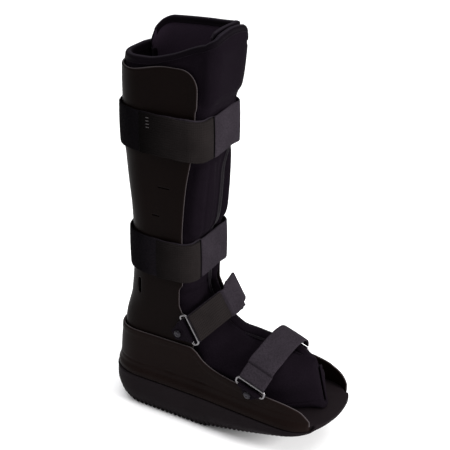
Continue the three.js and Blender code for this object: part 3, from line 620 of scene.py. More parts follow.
def flap_relief(g):
    """Outward swelling of the far flap where it shows between the liner's far side and the near flap.

    A product of smooth steps over the places round it and over the height, with two upright folds.
    """
    shown = smooth((g["around"] - 0.58) / 0.14) * smooth((0.93 - g["around"]) / 0.05)
    leg = smooth((g["z"] - 140) / 30) * smooth((428 - g["z"]) / 30)
    folds = 0.9 * bump(g["around"], 0.8, 0.02) + 0.9 * bump(g["around"], 0.88, 0.015)
    return shown * leg * (6.2 - sizes().crease_depth / MM * folds)


def wall_surface(g, grow_out, wall, relief):
    """Outer and inner grids of a padded wall: its middle surface plus and minus half the wall.

    The half wall is scaled by a quarter circle at every free edge, so the two faces meet there.
    """
    rounded = math.prod(roundness(g[edge], wall / 2) for edge in ("side", "rim", "toe"))
    middle = grow_out - wall / 2
    outer = on_section(g["s"], g["around"], middle + (wall / 2 + relief) * rounded)
    inner = on_section(g["s"], g["around"], middle - wall / 2 * rounded)
    return outer, inner, g["girth"], -g["z"]


def liner_ends(down):
    """Where the liner's near flap and far side end, as places round the section."""
    return read(FLAP_EDGES, "down", "near_end", down), read(FLAP_EDGES, "down", "far_end", down)


def liner_toe(around):
    """Row place at which the liner ends: the last row, all the way round."""
    return TOE_ROW + 0 * around


def flap_ends(down):
    """Where the far flap's two free edges run, as places round the section."""
    return mix(0.15, 0.42, down), mix(1.25, 1.14, down)


def flap_toe(around):
    """Row place at which the far flap ends, further back by its front edge."""
    return TOE_ROW - 1.2 - 0.9 * smooth((around - 0.6) / 0.5)


def binding_rings(place, count, wall, grow_out):
    """Sections of a tape folded over a padded edge, from its outer hem round the edge to its inner hem.

    place gives the row place and the place round the section for a distance in from the edge. The
    tape stands proud of the cloth by a smooth step, and its middle line follows a quarter circle
    into the edge on each face.
    """
    wide = sizes().binding_width / MM
    inward = wide * np.array([1, 0.985, 0.95, 0.88, 0.8, 0.62, 0.42, 0.28, 0.17, 0.08, 0.02])
    proud = np.array([-0.7, 0.5, 0.85, 0.8, 0.35, 0.3, 0.35, 0.45, 0.55, 0.6, 0.6])
    half = wall / 2 * roundness(inward, wall / 2) + proud
    depth = np.concatenate([inward, [-0.6], inward[::-1]])
    out = np.concatenate([half, [0], -half[::-1]])
    t = np.linspace(0, 1, count)[:, None]
    s, around = place(t, depth[None])
    # Painted highlight: these shares light the tape along its outer hem and over the fold at the edge.
    line = np.zeros(len(depth))
    line[[1, 2, 10, 11, 12]] = [0.55, 0.55, 0.7, 0.7, 0.7]
    return on_section(s, around, grow_out - wall / 2 + out[None]), np.tile(line, count)


def rim_place(rim, ends):
    """Places under a liner's rim: along it between two ends, and down by the distance."""
    def place(t, depth):
        around = around_of(mix(girth_of(ends[0]), girth_of(ends[1]), t)) + 0 * depth
        height = read(rim, "around", "height", around) * BOOT_HEIGHT
        return place_of_height(height - depth), around
    return place


def side_place(ends, side, toe, rim):
    """Places beside a liner's free edge: down it from the rim to the toe, and in by the distance."""
    def place(t, depth):
        down = mix(0.015, 0.995, t) + 0 * depth
        edge = ends(down)[side]
        around = around_of(girth_of(edge) + (depth if side == 0 else -depth))
        height = read(rim, "around", "height", edge) * BOOT_HEIGHT
        z = mix(height, SECTIONS[ANKLE_ROW]["bz"], leg_share(down))
        on_foot = mix(ANKLE_ROW, toe(edge), foot_share(down))
        return np.where(down <= LEG_SHARE, place_of_height(z), on_foot), around
    return place


# The leg shell

SHELL_EDGE = table(
    "up front",
    (0.175, 0.8), (0.215, 0.9), (0.245, 0.95), (0.3, 0.84), (0.33, 0.79), (0.345, 0.765),
    (0.39, 0.77), (0.405, 0.81), (0.53, 0.805), (0.61, 0.825), (0.68, 0.855), (0.755, 0.91),
    (0.84, 0.96), (0.877, 0.965), (0.893, 0.985), (1, 1.0),
)
SHELL_CORNER = 19
TOP_LOWERED = 6
REAR_DROP = 9
HEEL_JOIN = 135
JOIN_SHARE = 0.96


def shell_section(z):
    """The leg shell's level section at heights z, run on below the ankle with the back flaring out."""
    low = SECTIONS[ANKLE_ROW]
    c = section_at(place_of_height(np.maximum(z, low["bz"])))
    down = np.clip((low["bz"] - z) / (low["bz"] - SEAM_HEIGHT), 0, None)
    back = c["bx"] - LINER_DEPTH * (0.065 * down + 0.03 * down ** 2)
    return {"back": back, "front": c["fx"], "half": c["half"], "bend": c["bend"] * (down <= 0),
            "round": c["back_round"]}


def shell_edge_x(z, top):
    """The leg shell's front edge at heights z: the table, with a quarter circle at the top corner."""
    edge = LEG_BACK_X + read(SHELL_EDGE, "up", "front", z / SHELL_HEIGHT) * LINER_DEPTH
    rise = np.clip((z - (top - SHELL_CORNER)) / SHELL_CORNER, 0, 1)
    return edge - SHELL_CORNER * (1 - np.sqrt(1 - rise ** 2))


def leg_shell_grids():
    """Outer and inner grids of the leg shell: straight sides that lean in, and two quarter circles behind.

    Near the seam the rounds are blended into the foot shell's inside, and the rear of the top drops by
    a smooth step. The wall's thickness follows a quarter circle at every free edge.
    """
    bottom = SHELL_EDGE[0]["up"] * SHELL_HEIGHT
    top = SHELL_HEIGHT - TOP_LOWERED
    rim = LEG_WALL / 2
    straight = bottom + edge_steps(top - bottom - SHELL_CORNER * 0.3, 110, rim)[:-6]
    corner = top - SHELL_CORNER + SHELL_CORNER * np.sin(np.linspace(0, math.pi / 2, 16))
    z = np.unique(np.round(np.concatenate([straight[straight < top - SHELL_CORNER], corner]), 4))
    c = shell_section(z)
    edge = shell_edge_x(z, top)
    side = edge_steps(100, 46, rim) / 100
    side = side[: len(side) // 2 + 8]
    side = side / side[-1]
    arcs = np.linspace(0, math.pi / 2, 22)[1:]
    from_rim = z - bottom
    slope_top = smooth((z / SHELL_HEIGHT - 0.8) / 0.2)
    middle = SHELL_CLEARANCE + LEG_WALL / 2

    def half_row(grow):
        half, round_ = c["half"] + grow, c["round"] + grow
        arc_x = c["back"] - grow + round_
        x_side = mix(edge[:, None], arc_x[:, None], side[None])
        y_side = half[:, None] - lean_in(c["bend"][:, None], x_side - c["back"][:, None])
        x_arc = arc_x[:, None] - round_[:, None] * np.sin(arcs)
        y_arc = half[:, None] - round_[:, None] * (1 - np.cos(arcs))
        within = grow - middle - FOOT_WALL - LEG_WALL / 2 - GAP
        inside = foot_shell_point(HEEL_START + 0 * arcs, arcs, 1 + 0 * arcs, within)
        join = JOIN_SHARE * smooth((HEEL_JOIN - z) / (HEEL_JOIN - SEAM_HEIGHT))[:, None]
        x_arc, y_arc = mix(x_arc, inside[:, 0], join), mix(y_arc, inside[:, 1], join)
        return np.concatenate([x_side, x_arc], 1), np.concatenate([y_side, y_arc], 1)

    x_mid, _ = half_row(middle)
    corner_z = top - SHELL_CORNER
    corner_x = shell_edge_x(np.full_like(z, corner_z), top)[:, None] - SHELL_CORNER
    into_corner = np.hypot(np.clip(x_mid - corner_x, 0, None), np.clip(z - corner_z, 0, None)[:, None])
    in_corner = np.clip(SHELL_CORNER - into_corner, 0, None)
    to_edge = np.where(z[:, None] > corner_z, in_corner, edge[:, None] - x_mid)
    distance = np.minimum(np.minimum(to_edge, (top - z)[:, None]), from_rim[:, None])
    distance[:, 0], distance[0], distance[-1] = 0, 0, 0
    share = roundness(distance, rim)

    def grid(sign):
        x, y = half_row(middle)
        x2, y2 = half_row(middle + sign * LEG_WALL / 2)
        x, y = mix(x, x2, share), mix(y, y2, share)
        behind = smooth((edge[:, None] - 0.15 * LINER_DEPTH - x) / (0.5 * LINER_DEPTH))
        zz = z[:, None] - REAR_DROP * slope_top[:, None] * behind
        return np.concatenate(both_sides(x, y, zz), 1)

    outer, inner = grid(1), grid(-1)
    # rim_share is 1 at the rounded edges, where the shell material paints a highlight.
    rim_share = 1 - np.concatenate([share, share[:, ::-1]], 1)
    return (outer, inner, along_line(outer, 1), outer[..., 2]), rim_share


# The foot shell and the sole

SOLE_WAIST = table(
    "along half",
    (-0.5, 0.86), (-0.35, 0.87), (-0.05, 0.89), (0.2, 0.965), (0.35, 1), (0.5, 1),
)
FOOT_SHELL_EDGE = table(
    "along height half",
    (-0.5, 1, 0.8), (-0.08, 1, 0.8), (-0.055, 0.94, 0.81), (-0.02, 0.79, 0.83),
    (0.022, 0.7, 0.85), (0.068, 0.65, 0.865), (0.113, 0.62, 0.88), (0.27, 0.545, 0.925),
    (0.35, 0.495, 0.9), (0.386, 0.445, 0.87), (0.415, 0.39, 0.84), (0.435, 0.31, 0.82),
    (0.4525, 0.2, 0.79),
)
HEEL_START = HEEL_X + 0.19 * SOLE_LENGTH
SHELL_FRONT = TOE_X - 0.0475 * SOLE_LENGTH
PLATFORM_BACK = HEEL_X + FOOT_WALL + FLANGE + 5
FLAT_BACK = HEEL_X + 0.17 * SOLE_LENGTH
FLAT_FRONT = -0.06 * SOLE_LENGTH
TOE_RISE = 41
HEEL_RISE = 18
TREAD_INSET = 8


def sole_half(x):
    """Half width of the sole at its ledge: the waist table, closed by a rounded end at heel and toe."""
    heel_start, toe_start = HEEL_X + 0.16 * SOLE_LENGTH, TOE_X - 0.158 * SOLE_LENGTH
    rounded = lambda reach, power: (1 - np.clip(reach, 0, 1) ** power) ** (1 / 2.2)
    heel = rounded((heel_start - x) / (heel_start - HEEL_X), 2.3)
    toe = rounded((x - toe_start) / (TOE_X - toe_start), 2.6)
    return read(SOLE_WAIST, "along", "half", x / SOLE_LENGTH) * SOLE_WIDTH / 2 * np.minimum(heel, toe)


def tread_height(x):
    """Height of the tread: flat under the leg, a ramp to the toe and a parabola up the heel."""
    forward = np.clip((x - FLAT_FRONT) / (TOE_X - FLAT_FRONT), 0, 1)
    behind = np.clip((FLAT_BACK - x) / (FLAT_BACK - HEEL_X), 0, 1)
    onset = smooth((x - FLAT_FRONT) / (0.08 * SOLE_LENGTH))
    return TOE_RISE * (0.7 * forward + 0.3 * forward ** 2) * onset + HEEL_RISE * behind ** 2


def foot_shell_point(x, heel_turn, share, grow):
    """Points of the foot shell: along the side by x, or round the heel by an angle on a superellipse.

    The wall leans from the ledge's half width to the edge table's, and behind from the heel's base to
    the leg shell's back, over the share of the wall's height.
    """
    z0 = LEDGE_HEIGHT + GAP
    seam = shell_section(np.array(SEAM_HEIGHT))
    along = np.where(heel_turn > 0, HEEL_START, x)
    top = mix(z0, SEAM_HEIGHT, read(FOOT_SHELL_EDGE, "along", "height", along / SOLE_LENGTH))
    z = mix(z0, top, share)
    rise = np.clip((z - z0) / (SEAM_HEIGHT - z0), 0, 1)
    base_half = sole_half(np.maximum(along, HEEL_X + 0.2 * SOLE_LENGTH)) - FLANGE - 0.4
    seam_half = float(seam["half"]) + SHELL_CLEARANCE + LEG_WALL + GAP + FOOT_WALL
    rear = smooth((0.1 * SOLE_LENGTH - along) / (0.2 * SOLE_LENGTH))
    edge_half = read(FOOT_SHELL_EDGE, "along", "half", along / SOLE_LENGTH) * SOLE_WIDTH / 2
    half = mix(base_half, mix(edge_half, seam_half, rear), mix(share, smooth(rise / 0.5), rear)) + grow
    back_base = HEEL_X + FLANGE + 1.5
    back_top = float(seam["back"]) - SHELL_CLEARANCE - LEG_WALL - GAP - FOOT_WALL
    back = mix(back_base, back_top, rise ** 1.4) - grow
    square = mix(2.35, 3, rise)
    c = np.clip(np.cos(heel_turn), 0, 1) ** (2 / square)
    s = np.clip(np.sin(heel_turn), 0, 1) ** (2 / square)
    on_heel = heel_turn > 0
    return np.stack([np.where(on_heel, HEEL_START - (HEEL_START - back) * s, x),
                     np.where(on_heel, half * c, half), z * np.ones_like(half)], -1)


def foot_shell_grids():
    """Outer and inner grids of the foot shell, from the near toe end round the heel to the far one.

    The outside adds a bead along its foot that fades upwards, a panel sunk by 0.35 mm inside smooth
    steps, and a shallow groove: a bell across its line, times three bells along it.
    """
    rim = FOOT_WALL / 2
    front = FOOT_SHELL_EDGE[-1]["along"] * SOLE_LENGTH
    side = edge_steps(200, 150, rim) / 200
    side = side[: len(side) - 5]
    side = side / side[-1]
    x = mix(front, HEEL_START, side)
    turns = np.linspace(0, math.pi / 2, 34)[1:]
    half_x = np.concatenate([x, np.full(len(turns), HEEL_START)])
    half_turn = np.concatenate([np.zeros(len(x)), turns])
    height = edge_steps(60, 44, rim) / 60
    share = height[:, None]
    top = mix(LEDGE_HEIGHT, SEAM_HEIGHT, read(FOOT_SHELL_EDGE, "along", "height", half_x / SOLE_LENGTH))
    tall = (top - LEDGE_HEIGHT)[None]
    from_rim = (1 - share) * tall
    from_front = (front - half_x)[None] * np.ones_like(share)
    rounded = roundness(from_rim, rim) * roundness(from_front, rim) * roundness(share * tall, rim)
    rounded[:, 0], rounded[0], rounded[-1] = 0, 0, 0
    above = share * tall
    bead = FLANGE * smooth(above / 1.2) * smooth((12 - above) / 7)
    panel = -0.35 * smooth((above - 16) / 2) * smooth((tall - 6 - above) / 3) * smooth((from_front - 12) / 12)
    line = above - (17 + 0.02 * (half_x + 60))
    runs = bump(half_x, -88, 9) + bump(half_x, -46, 9) + bump(half_x, -10, 12)
    groove = -0.9 * bump(line, 0, 1.1) * np.clip(runs, 0, 1)
    grow_out = mix(-FOOT_WALL / 2, bead + panel + groove, rounded)
    grow_in = mix(-FOOT_WALL / 2, -FOOT_WALL, rounded)

    def grid(grow):
        half = foot_shell_point(half_x[None], half_turn[None], share, grow)
        mirrored = half[:, :-1][:, ::-1].copy()
        near = half * np.array([1, -1, 1])
        near[:, -1, 1] = 0
        return np.concatenate([near, mirrored], 1)

    outer, inner = grid(grow_out), grid(grow_in)
    # Share of the rounded top rim, where the shell material paints a highlight.
    upper = np.where(share > 0.5, 1 - rounded, 0)
    rim_share = np.concatenate([upper, upper[:, :-1][:, ::-1]], 1)
    return (outer, inner, along_line(outer, 1), outer[..., 2]), rim_share


def platform_half(x):
    """Half width of the raised platform that fits inside the foot shell's wall."""
    flat = foot_shell_point(np.maximum(x, HEEL_START), np.zeros_like(x), np.zeros_like(x), 0.0)[..., 1]
    reach = np.clip((HEEL_START - x) / (HEEL_START - PLATFORM_BACK + 1.5), 0, 1)
    return (flat - FOOT_WALL - 2 * GAP) * (1 - reach ** 2.2) ** (1 / 2.2) - FLANGE * 0.3


def rib_groove(x):
    """Depth of the cross grooves at x: square waves of the rib pitch with sloped walls."""
    pitch, depth = sizes().rib_pitch / MM, sizes().rib_depth / MM
    phase = np.abs((x / pitch + 0.5) % 1 - 0.5) * 2
    field = smooth((x - HEEL_X - 12) / 3) * smooth((TOE_X - 12 - x) / 3)
    return depth * smooth((phase - 0.52) / 0.16) * field


def sole_rings():
    """Cross-sections of the sole: platform, ledge with rounded lip, bulging side and grooved tread."""
    pitch = sizes().rib_pitch / MM
    reach, trim = 14, 0.3
    heel_end = HEEL_X + trim + reach * (1 - np.cos(np.linspace(0, math.pi / 2, 14)))
    body = np.arange(HEEL_X + reach + 0.5, TOE_X - reach - 1, pitch / 12)
    toe_end = TOE_X - trim - reach * (1 - np.cos(np.linspace(math.pi / 2, 0, 14)))
    x = np.concatenate([heel_end, body, toe_end])
    half = sole_half(x)
    capped = smooth((x - SHELL_FRONT - 1) / 3)
    inner = mix(np.maximum(platform_half(x), 0.4 * half), half * 0.965, capped)
    on_platform = smooth((x - PLATFORM_BACK) / 0.6)
    top = mix(LEDGE_HEIGHT, PLATFORM_HEIGHT, on_platform)
    ledge = mix(LEDGE_HEIGHT, PLATFORM_HEIGHT - 1.2, capped)
    groove = rib_groove(x)
    tread = tread_height(x)
    bottom = np.maximum(half - TREAD_INSET, 0.6 * half)
    side_depth = ledge - tread
    rows = [(inner * share, top + 0 * x) for share in np.linspace(0, 1, 9)]
    rows.append((inner + 0.05, top - 0.3))
    rows.append((inner + 0.1, mix(ledge, top, 0.04)))
    lip = 1.4
    rows.append((mix(inner, half - lip, 0.6), ledge))
    for turn in np.linspace(0, math.pi / 2, 5):
        rows.append((half - lip * (1 - np.sin(turn)), ledge - lip * (1 - np.cos(turn))))
    for share in np.linspace(0.12, 0.86, 13):
        bulge = 0.985 + 0.018 * math.sin(math.pi * share)
        inward = smooth((share - 0.42) / 0.58)
        y = mix(half * bulge, bottom, 0.62 * inward ** 1.3)
        lift = groove * smooth((share - 0.74) / 0.14)
        rows.append((y - 0.55 * lift, ledge - share * side_depth + 0.3 * lift))
    for share in np.linspace(0.9, 1.0, 4):
        turned = (share - 0.9) * 10
        y = mix(mix(half, bottom, 0.72), bottom, turned)
        rows.append((y - 0.4 * groove, ledge - share * side_depth + groove * (0.4 + 0.6 * turned)))
    rows += [(bottom * share, tread + groove) for share in np.linspace(0.9, 0, 7)]
    y, z = np.stack(rows, 2)
    xx = np.repeat(x[:, None], y.shape[1], 1)
    near, far = both_sides(xx, y, z)
    return np.concatenate([near, far[:, 1:-1]], 1)


# Straps


def strap_outline(height, grow, around):
    """Level outline of a calf strap at places round it, outside the leg shell and the liner's front.

    It narrows a little from the middle of the sides to the front, by a smooth step.
    """
    s = shell_section(np.array(height))
    out = SHELL_CLEARANCE + LEG_WALL + GAP
    x, y, side, q = rounded_outline(
        around, float(s["back"]) - out - 1.2 - grow, float(s["front"]) + 2 * GAP + grow,
        float(s["half"]) + out + GAP + grow, float(s["round"]) + out + grow, 0.28 * LINER_HALF + grow)
    return np.stack([x, side * y * (1 - 0.08 * smooth((q - 0.5) / 0.3))], -1)


def step_beside(distance, height, fade):
    """A ledge that rises over 0.9 mm just past a strap's end and fades away again by a smooth step."""
    return height * smooth((distance - 0.6) / 0.9) * smooth((fade - distance) / (0.75 * fade))


def strap_band(height, around, cross, base, end=None):
    """Outer and inner grids of a calf strap's band, with quarter-round edges.

    Its middle stands out by a parabola across it, its long edges wave by two sines, and an open
    band's front end stands off by a smooth step over its last 14 mm. With the place of an end that
    lies on it, the band is closed and steps out beside that end.
    """
    closed = end is not None
    rim = STRAP_THICK / 2
    half_width = STRAP_WIDTH / 2 - (0 if closed else 0.5)
    girth = along_line(strap_outline(height, base + rim, around))
    turns = lambda length: 2 * math.pi * np.round(girth[-1] / length) * girth / girth[-1]
    wave = 0.45 * np.sin(turns(70)) + 0.3 * np.sin(turns(23) + height)
    across = cross[:, None]
    level = height + across * (half_width - 0.8 + wave * np.sign(across) * 0.8)
    distance = (1 - np.abs(across)) * half_width + 0 * girth
    stand = 0.5 * (1 - across ** 2) + 0 * girth
    if closed:
        beyond = girth[np.argmin(np.abs(around - end))] - girth
        stand = stand + step_beside(beyond - 1.6, 2.3, 38)
    else:
        distance = np.minimum(distance, np.minimum(girth, girth[-1] - girth))
        stand = stand + 0.3 * smooth((girth - girth[-1] + 14) / 14)
    share = roundness(distance, rim)
    share[0], share[-1] = 0, 0
    if not closed:
        share[:, 0], share[:, -1] = 0, 0

    def grid(sign):
        grow = base + rim + stand + sign * rim * share
        xy = strap_outline(height, grow, np.broadcast_to(around, grow.shape))
        return np.concatenate([xy, level[..., None]], -1)

    outer, inner = grid(1), grid(-1)
    return outer, inner, along_line(outer, 1), level


def cross_places():
    """Places across a strap from -1 to 1, close in the rounded edges."""
    steps = edge_steps(STRAP_WIDTH, 26, STRAP_THICK / 2)
    return steps / STRAP_WIDTH * 2 - 1


def foot_strap_frame(ring, x, z, slope, out, **run):
    """The frame that a foot strap lies in: the far ring's bar, the ways along and up, and the strap's run.

    The run's climb, shift, skew and far_drop say how high it arches, how far it moves along the foot
    on the way, how far its two ends stand apart along the foot, and how much lower the far end is.
    """
    up = np.array([math.sin(slope), 0, math.cos(slope)])
    middle = np.array([x, float(ring_place(ring)[1]), z]) + out * up
    return {"middle": middle, "wide": np.array([math.cos(slope), 0, -math.sin(slope)]), "up": up, **run}


def ring_place(node):
    """Middle of a ring's box in the frame, in millimetres."""
    low, high = frame_box(node)
    return (low + high) / 2


ANKLE_SLOPE = 1.03
TOE_SLOPE = 0.33
ANKLE_BAR_X = LEG_BACK_X + 0.91 * LINER_DEPTH
TOE_BAR_X = 0.207 * SOLE_LENGTH + 1.5
ANKLE = foot_strap_frame("ring_ankle_far", ANKLE_BAR_X, SEAM_HEIGHT + 21, ANKLE_SLOPE, out=5.5,
                         climb=20.5, shift=-6, skew=0, far_drop=0)
TOE = foot_strap_frame("ring_toe_far", TOE_BAR_X, SEAM_HEIGHT - 12.5, TOE_SLOPE, out=0,
                       climb=23, shift=0, skew=-3, far_drop=8)
ANKLE_ARCH = table(
    "side rise",
    (-1, 0), (-0.75, 0.3), (-0.45, 0.6), (-0.15, 0.88), (0.02, 0.985), (0.12, 1),
    (0.24, 0.95), (0.5, 0.66), (0.78, 0.33), (1, 0),
)
TOE_ARCH = table(
    "side rise",
    (-1, 0), (-0.8, 0.36), (-0.5, 0.76), (-0.2, 0.96), (0.1, 1), (0.4, 0.86), (0.7, 0.46),
    (0.88, 0.05), (1, -0.348),
)
ANKLE_FOLD = -0.1
TOE_FOLD = -0.76
FREE_END = table(
    "away lift shift",
    (0, 0, -1), (6, 2.2, -4), (13, 3.8, -7), (20, 3.6, -9),
)


def arch_line(place, arch, start, stop, count):
    """A strap's middle line in (y, up, shift): the arch table read smoothly, with its outward normal."""
    side = np.linspace(start, stop, count)
    y = side * place["middle"][1]
    rise = read(arch, "side", "rise", side)
    up = rise * place["climb"]
    dy, du = np.gradient(y), np.gradient(up)
    length = np.hypot(dy, du)
    return {"y": y, "up": up, "shift": rise * place["shift"] + side * place["skew"],
            "ny": -du / length, "nu": dy / length}


def bar_middle(place, side):
    """Middle of a ring's outer bar on one side of the foot."""
    down = place["far_drop"] if side == FAR else 0
    middle = place["middle"] * np.array([1, side, 1])
    return middle + side * place["skew"] * place["wide"] - down * place["up"]


def length_of(line):
    """Distance run along a strap's middle line, seen along the foot."""
    return along_line(np.stack([line["y"], line["up"]], -1))


def band_on_line(place, line, base, width, corner, end_y):
    """Outer and inner grids of a flat band along a line, with rounded edges and clipped end corners.

    Where an end lies on it, the band steps out beside that end, which lies at end_y.
    """
    rim = STRAP_THICK / 2
    across = (edge_steps(width, 22, rim) / width * 2 - 1)[:, None]
    length = length_of(line)
    to_end = np.minimum(length, length[-1] - length)
    narrow = corner * (1 - roundness(to_end, max(corner, 0.01)))
    half = width / 2 - narrow
    share = edged(roundness(np.minimum((1 - np.abs(across)) * half, to_end), rim))
    stand = 0.35 * (1 - across ** 2) * smooth(to_end / 8)
    if end_y is not None:
        stand = stand + step_beside(length - np.interp(end_y, line["y"], length), 4.0, 22)

    def grid(sign):
        grow = base + rim + stand + sign * rim * share
        sideways = across * half + line["shift"]
        up = line["up"] + line["nu"] * grow
        points = place["middle"] + sideways[..., None] * place["wide"] + up[..., None] * place["up"]
        points[..., 1] = line["y"] + line["ny"] * grow
        return points

    return grid(1), grid(-1), length + 0 * across, across * width / 2 + 0 * length


def with_close_ends(line):
    """The same line with close steps in its rounded ends."""
    length = length_of(line)
    places = edge_steps(length[-1], max(12, int(length[-1] / 1.2)), STRAP_THICK / 2)
    return {name: np.interp(places, length, values) for name, values in line.items()}


# Node helpers and materials


def fill(tree, made, inputs):
    """Sets a node's inputs, each to a value or to another node's output socket."""
    for name, value in inputs.items():
        if isinstance(value, bpy.types.NodeSocket):
            tree.links.new(value, made.inputs[name])
        else:
            made.inputs[name].default_value = value


def node(tree, kind, inputs=None, **settings):
    """Adds a node and sets its properties and its inputs."""
    made = tree.nodes.new(kind)
    for name, value in settings.items():
        setattr(made, name, value)
    fill(tree, made, inputs or {})
    return made


def noise(tree, where, grain, detail, roughness=0.5):
    """Fractal noise whose grain is given in millimetres."""
    return node(tree, "ShaderNodeTexNoise", {
        "Vector": where, "Scale": 1 / (grain * MM), "Detail": detail, "Roughness": roughness}).outputs["Fac"]


def blended(tree, factor, low, high, blend="MIX"):
    """One colour blended with another by a factor."""
    return node(tree, "ShaderNodeMix", {"Factor": factor, 6: low, 7: high},
                data_type="RGBA", blend_type=blend).outputs[2]


def ranged(tree, value, source, result, **settings):
    """A value carried from one range to another."""
    return node(tree, "ShaderNodeMapRange", {
        "Value": value, "From Min": source[0], "From Max": source[1],
        "To Min": result[0], "To Max": result[1]}, **settings).outputs["Result"]


def arithmetic(tree, operation, a, b):
    """One step of arithmetic on two values."""
    return node(tree, "ShaderNodeMath", {0: a, 1: b}, operation=operation).outputs["Value"]


def embossed(tree, height, strength, depth):
    """The surface's direction under a relief whose depth is given in millimetres."""
    return node(tree, "ShaderNodeBump", {
        "Height": height, "Strength": strength, "Distance": depth * MM}).outputs["Normal"]


def rim_of(tree):
    """The piece's own rim attribute."""
    return node(tree, "ShaderNodeAttribute", attribute_name="rim").outputs["Fac"]


def blank_material(name):
    """A node material, its tree, its Principled shader and its Object coordinates."""
    material = bpy.data.materials.new(name)
    material.use_nodes = True
    tree = material.node_tree
    return material, tree, tree.nodes["Principled BSDF"], node(tree, "ShaderNodeTexCoord").outputs["Object"]


def scaled(colour, factor):
    """A colour made lighter or darker by a factor."""
    return [min(1, c * factor) for c in colour[:3]] + [1]


def moulded_polypropylene(name="Moulded polypropylene", depth=1.0):
    """Injection-moulded polypropylene, spark-eroded mould: fine grain, satin, with a painted highlight on the
    rims.
    """
    material, tree, shader, where = blank_material(name)
    base = scaled(colours().shell, depth)
    cloud = noise(tree, where, 45, 3)
    tint = blended(tree, cloud, scaled(base, 0.8), scaled(base, 1.25))
    # Painted highlight: the rim attribute lightens the shell towards 4c4749 along its rounded edges.
    painted_rim_highlight = arithmetic(tree, "MULTIPLY", rim_of(tree), 0.85)
    fill(tree, shader, {
        "Base Color": blended(tree, painted_rim_highlight, tint, linear("4c4749")),
        "Roughness": ranged(tree, cloud, (0.3, 0.7), (0.36, 0.5)),
        "Normal": embossed(tree, noise(tree, where, 0.9, 3, 0.6), 0.12, 0.12),
        "Specular IOR Level": 0.015})
    return material


def darker_polypropylene():
    """The same moulded polypropylene at 0.6 of its colour, as the leg shell has it."""
    return moulded_polypropylene("Moulded polypropylene, deep black", 0.6)


def moulded_rubber():
    """Compression-moulded rubber sole: matt, dusty grain, paler where it is scuffed by flexing."""
    material, tree, shader, where = blank_material("Moulded rubber")
    base = colours().rubber
    dust = noise(tree, where, 30, 4, 0.6)
    fill(tree, shader, {
        "Base Color": blended(tree, dust, scaled(base, 0.85), scaled(base, 1.3)),
        "Normal": embossed(tree, noise(tree, where, 1.1, 4, 0.65), 0.22, 0.2),
        "Roughness": 0.62, "Specular IOR Level": 0.02})
    return material


# Scale at which a band texture repeats once a metre
BAND_SCALE = 0.314


def bands(tree, where, direction, pitch):
    """Threads in one direction, a pitch in millimetres apart."""
    return node(tree, "ShaderNodeTexWave", {
        "Vector": where, "Scale": BAND_SCALE / (pitch * MM), "Distortion": 0.6, "Detail": 1},
        wave_type="BANDS", bands_direction=direction).outputs["Fac"]


def cloth_material(name, base, thread, depth, sheen, rough, mottle=0.25, weave=False, rear=1.0, line=None):
    """Cloth from its threads: a woven relief on the piece's surface map, or loops in space, with sheen.

    thread and depth are the thread's pitch and the relief's depth in millimetres. rear paints shade on the
    cloth, darker towards the back of the leg, and line blends in a painted-light colour by the piece's rim
    attribute.
    """
    material, tree, shader, solid = blank_material(name)
    if weave:
        where = node(tree, "ShaderNodeUVMap", uv_map="surface").outputs["UV"]
        warp, weft = bands(tree, where, "X", thread), bands(tree, where, "Y", thread * 1.3)
        relief = arithmetic(tree, "MAXIMUM", warp, weft)
    else:
        loops = node(tree, "ShaderNodeTexVoronoi", {
            "Vector": solid, "Scale": 1 / (thread * MM), "Randomness": 1}, feature="F1")
        relief = arithmetic(tree, "SUBTRACT", 1.0, loops.outputs["Distance"])
    fuzz = noise(tree, solid, 2.4 * thread, 5, 0.7)
    patch = arithmetic(tree, "MULTIPLY", relief, noise(tree, solid, 26, 3, 0.55))
    tint = blended(tree, patch, scaled(base, 1 - mottle), scaled(base, 1 + 1.6 * mottle))
    # Painted shade: the colour is multiplied down to rear towards the back of the leg, from 105 to 20 mm in
    # front of its back.
    if rear < 1:
        forward = node(tree, "ShaderNodeSeparateXYZ", {"Vector": solid}).outputs["X"]
        reach = (LEG_BACK_X * MM + 0.02, LEG_BACK_X * MM + 0.105)
        painted_rear_shade = ranged(tree, forward, reach, (rear, 1.0), interpolation_type="SMOOTHSTEP")
        tint = blended(tree, 1.0, tint, painted_rear_shade, "MULTIPLY")
    # Painted light: the rim attribute blends the line colour in.
    if line is not None:
        tint = blended(tree, rim_of(tree), tint, line)
    fill(tree, shader, {
        "Base Color": tint, "Roughness": rough, "Specular IOR Level": 0.01,
        "Normal": embossed(tree, arithmetic(tree, "ADD", relief, fuzz), 0.5, depth),
        "Sheen Weight": sheen, "Sheen Roughness": 0.4, "Sheen Tint": scaled(base, 3)})
    return material


def brushed_loop_cloth():
    """Brushed loop nylon laminated to foam: soft, matt, with a faint purple bloom at grazing light."""
    return cloth_material("Brushed loop nylon", colours().cloth, 1.1, 0.3, 0.06, 0.9)


def lining_cloth_with_painted_light():
    """The same brushed loop nylon, painted 4.5 times lighter on the far flap's inside as light falling into
    the boot.
    """
    base = colours().cloth
    return cloth_material("Brushed loop nylon lining", base, 1.1, 0.3, 0.06, 0.9, line=scaled(base, 4.5))


def loop_pile():
    """Unbroken loop pile of hook-and-loop strap, 1 mm loops drawn a little coarse so that they show."""
    # rear=0.12 paints shade on the pile towards the back of the leg.
    return cloth_material("Loop pile nylon", colours().pile, 1.6, 0.5, 0.04, 0.92, mottle=0.4, rear=0.12)


def woven_backing():
    """Plain-woven nylon backing of the strap ends: thread pitch 1.4 mm, drawn coarse, with low sheen."""
    # rear=0.05 paints shade on the backing towards the back of the leg.
    return cloth_material("Woven nylon backing", colours().webbing, 1.9, 0.4, 0.02, 0.8, mottle=0.4,
                          weave=True, rear=0.05)


